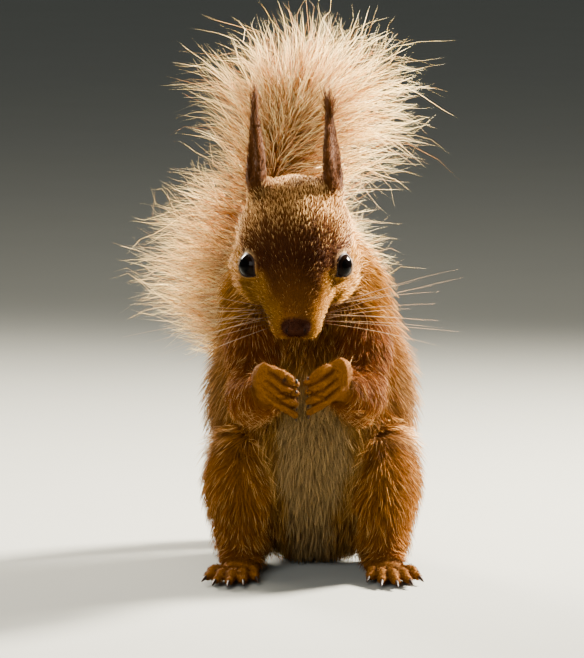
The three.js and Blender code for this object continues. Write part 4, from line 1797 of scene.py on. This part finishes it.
@dataclass(frozen=True)
class EyeFinish(Finish):
    """A wet cornea over a nearly black brown iris, so that it shows little but its highlights."""

    name: str = "wet_cornea"
    pupil: str = "#030202"
    iris: str = "#0d0603"
    pupil_edge: tuple[float, float] = (26.0, 34.0)  # where it blends into the iris, from the gaze
    roughness: float = 0.07
    specular: float = 0.06

    def surface(self, tree: Tree) -> Socket:
        """Adds the nodes and returns their surface."""
        start, end = self.pupil_edge
        turned = add_node(tree, "Attribute", out="Fac", attribute_name="turned")
        ends = {"Value": turned, "From Min": start, "From Max": end}
        edge = add_node(tree, "MapRange", ends, interpolation_type="SMOOTHSTEP")
        inputs = {MIX_SHARE: edge, MIX_FIRST: linear(self.pupil), MIX_SECOND: linear(self.iris)}
        colour = add_node(tree, "Mix", inputs, MIX_RESULT, data_type="RGBA")
        body = {
            "Base Color": colour,
            "Roughness": self.roughness,
            "IOR": CORNEA_IOR,
            "Specular IOR Level": self.specular,
        }
        return add_node(tree, "BsdfPrincipled", body)


@dataclass(frozen=True)
class HornFinish(Finish):
    """Claw horn: dark keratin with fine lengthwise streaks and a polished surface."""

    name: str = "claw_keratin"
    dark: str = "#120b08"
    pale: str = "#382519"
    streak: float = 0.35  # mm from streak to streak
    roughness: float = 0.5
    specular: float = 0.2

    def surface(self, tree: Tree) -> Socket:
        """Adds the nodes and returns their surface."""
        place = add_node(tree, "TexCoord", out="Object")
        grain = add_node(tree, "TexNoise", {"Vector": place, "Scale": 1 / (self.streak * MM), "Detail": 2.0})
        inputs = {MIX_SHARE: grain, MIX_FIRST: linear(self.dark), MIX_SECOND: linear(self.pale)}
        colour = add_node(tree, "Mix", inputs, MIX_RESULT, data_type="RGBA")
        body = {
            "Base Color": colour,
            "Roughness": self.roughness,
            "IOR": KERATIN_IOR,
            "Specular IOR Level": self.specular,
        }
        return add_node(tree, "BsdfPrincipled", body)


@dataclass(frozen=True)
class WhiskerFinish(Finish):
    """Whiskers: stiff, glossy keratin, red-brown at the root, with pale tips that are a painted highlight."""

    name: str = "whisker_keratin"
    root: str = "#33160a"
    # the pale tip is a painted highlight, the glint of light along the whisker
    tip: str = "#d9b384"
    roughness: float = 0.4
    specular: float = 0.05

    def surface(self, tree: Tree) -> Socket:
        """Adds the nodes and returns their surface."""
        along = add_node(tree, "Attribute", out="Fac", attribute_name="along")
        inputs = {MIX_SHARE: along, MIX_FIRST: linear(self.root), MIX_SECOND: linear(self.tip)}
        colour = add_node(tree, "Mix", inputs, MIX_RESULT, data_type="RGBA")
        body = {
            "Base Color": colour,
            "Roughness": self.roughness,
            "IOR": KERATIN_IOR,
            "Specular IOR Level": self.specular,
        }
        return add_node(tree, "BsdfPrincipled", body)


@dataclass(frozen=True)
class MatteFinish(Finish):
    """Matte paint for the floor: even and slightly mottled, so that it takes soft shadows."""

    name: str = "matte_floor_paint"
    colour: str = "#7f817b"
    mottle: float = 60  # mm across a patch

    def surface(self, tree: Tree) -> Socket:
        """Adds the nodes and returns their surface."""
        place = add_node(tree, "TexCoord", out="Object")
        patch = add_node(tree, "TexNoise", {"Vector": place, "Scale": 1 / (self.mottle * MM), "Detail": 2.0})
        shade = add_node(tree, "MapRange", {"Value": patch, "To Min": 0.97, "To Max": 1.03})
        colour = add_node(tree, "HueSaturation", {"Value": shade, "Color": linear(self.colour)})
        return add_node(tree, "BsdfPrincipled", {"Base Color": colour, "Roughness": 0.85})


def dress(piece: Piece, material: Material, slot: str, *replaced: str) -> None:
    """Gives a piece its material, hangs it on the root and hides the CAD nodes that it stands for.

    Args:
        piece: the finished mesh.
        material: the look that it gets.
        slot: not used.
        replaced: the CAD nodes that it stands for.
    """
    piece.data.materials.clear()
    piece.data.materials.append(material)
    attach(piece, "root")
    if replaced:
        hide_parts(*replaced)
    log.info("%s: %d faces", piece.name, len(piece.data.polygons))


# ---- the studio ----


@dataclass(frozen=True)
class Lamp:
    """One square area light.

    Args:
        name: the object's name.
        place: where it hangs, in metres.
        size: the length of its side, in metres.
        power: in watts.
        spread: how wide its beam is.
        colour: of its light.
    """

    name: str
    place: tuple[float, float, float]
    size: float
    power: float
    spread: float = 180
    colour: str = "#fff4e2"


LAMPS = (
    Lamp("back_light", (0.78, 0.48, 0.54), 0.22, 28, 60),
    Lamp("rim_light", (-0.45, 0.76, 0.45), 0.3, 4.5, 60),
    Lamp("front_light", (-0.35, -1.0, 0.55), 0.6, 12, colour="#ffffff"),
    Lamp("top_light", (-0.1, 0.1, 1.0), 0.6, 12),
)


@dataclass
class Studio:
    """The camera, the floor and the lights."""

    elevation: float = 8
    distance: float = 1500
    focal: float = 246
    sensor: float = 36
    clip: tuple[float, float] = (0.05, 20)  # in metres
    aim_height: float = 77.8
    aim_aside: float = -1.2  # from the middle between the eyes
    floor_radius: float = 6000
    floor_depth: float = 20
    lit_height: float = 90  # what the lamps point at
    sky: str = "#c3c7c4"
    sky_strength: float = 0.3

    def set_camera(self) -> None:
        """Places the camera in front of the animal, a little above it."""
        aim = np.array([HEAD.nose[0] + self.aim_aside, 0, self.aim_height])
        tilt = math.radians(self.elevation)
        back = np.array([0, -math.cos(tilt), math.sin(tilt)])
        camera = bpy.data.objects.new("camera", bpy.data.cameras.new("camera"))
        camera.data.lens = self.focal
        camera.data.sensor_width = self.sensor
        camera.data.clip_start, camera.data.clip_end = self.clip
        camera.location = (aim + back * self.distance) * MM
        camera.rotation_euler = Vector(-back).to_track_quat("-Z", "Y").to_euler()
        bpy.context.scene.collection.objects.link(camera)
        bpy.context.scene.camera = camera

    def set_floor(self) -> None:
        """Lays a plain grey floor."""
        deselect()
        bpy.ops.mesh.primitive_circle_add(vertices=96, radius=self.floor_radius * MM, fill_type="NGON")
        floor = bpy.context.object
        floor.name = "floor"
        bpy.ops.object.mode_set(mode="EDIT")
        bpy.ops.mesh.select_all(action="SELECT")
        bpy.ops.mesh.extrude_region_move(TRANSFORM_OT_translate={"value": (0, 0, -self.floor_depth * MM)})
        bpy.ops.mesh.select_all(action="SELECT")
        bpy.ops.mesh.normals_make_consistent(inside=False)
        bpy.ops.object.mode_set(mode="OBJECT")
        floor.data.materials.append(MatteFinish().material())

    def set_lights(self) -> None:
        """Hangs a strong light behind the animal's left shoulder, and gentler ones about it."""
        aim = Vector((0, 0, self.lit_height * MM))
        for lamp in LAMPS:
            light = bpy.data.objects.new(lamp.name, bpy.data.lights.new(lamp.name, "AREA"))
            light.data.size = lamp.size
            light.data.energy = lamp.power
            light.data.color = linear(lamp.colour)[:3]
            light.data.spread = math.radians(lamp.spread)
            light.location = lamp.place
            light.rotation_euler = (aim - Vector(lamp.place)).to_track_quat("-Z", "Y").to_euler()
            bpy.context.scene.collection.objects.link(light)
        world = bpy.data.worlds.new("studio")
        world.use_nodes = True
        sky = world.node_tree.nodes["Background"]
        sky.inputs["Color"].default_value = linear(self.sky)
        sky.inputs["Strength"].default_value = self.sky_strength
        bpy.context.scene.world = world

    def build(self) -> None:
        """Sets everything up."""
        self.set_camera()
        self.set_floor()
        self.set_lights()


SLOTS: dict[Region, str] = {
    Region.HEAD: "face_fur",
    Region.EAR: "ear_fur",
    Region.UPPER_ARM: "arm_fur",
    Region.FOREARM: "arm_fur",
    Region.HAND: "hand_skin",
    Region.FOOT: "hand_skin",
    Region.TAIL: "tail_hair",
}


def slot_of(name: str) -> str:
    """Returns the record slot of a coat piece by its name."""
    for region, slot in SLOTS.items():
        if name.startswith(f"coat_{region.value}"):
            return slot
    return "russet_fur"


def main() -> None:
    """Builds the squirrel piece by piece."""
    logging.basicConfig(level=logging.INFO)
    thrift = 1.0
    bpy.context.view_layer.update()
    Studio().build()
    skin = Skin()
    skin.build()
    dress(skin.piece, SkinFinish().material(), "russet_fur", *flesh_nodes())
    wet = EyeFinish().material()
    for name, eye in eyes().items():
        dress(eye.build(f"eyeball_{name}"), wet, "eye", f"eye_{name}")
    horn = HornFinish().material()
    for side in SIDES:
        for limb, digits in (("hand", FINGERS), ("foot", TOES)):
            for digit in digits:
                claw = Claw(limb, side, digit)
                dress(claw.build(), horn, "claw_horn", claw.node)
    hair = TuftFinish().material()
    for piece in Coat(skin, thrift).grow():
        dress(piece, hair, slot_of(piece.name))
    plume = PlumeFinish().material()
    for piece in Plume(thrift).grow():
        dress(piece, plume, "tail_hair")
    dress(Whiskers().grow(skin), WhiskerFinish().material(), "face_fur")


if __name__ == "__main__":
    main()
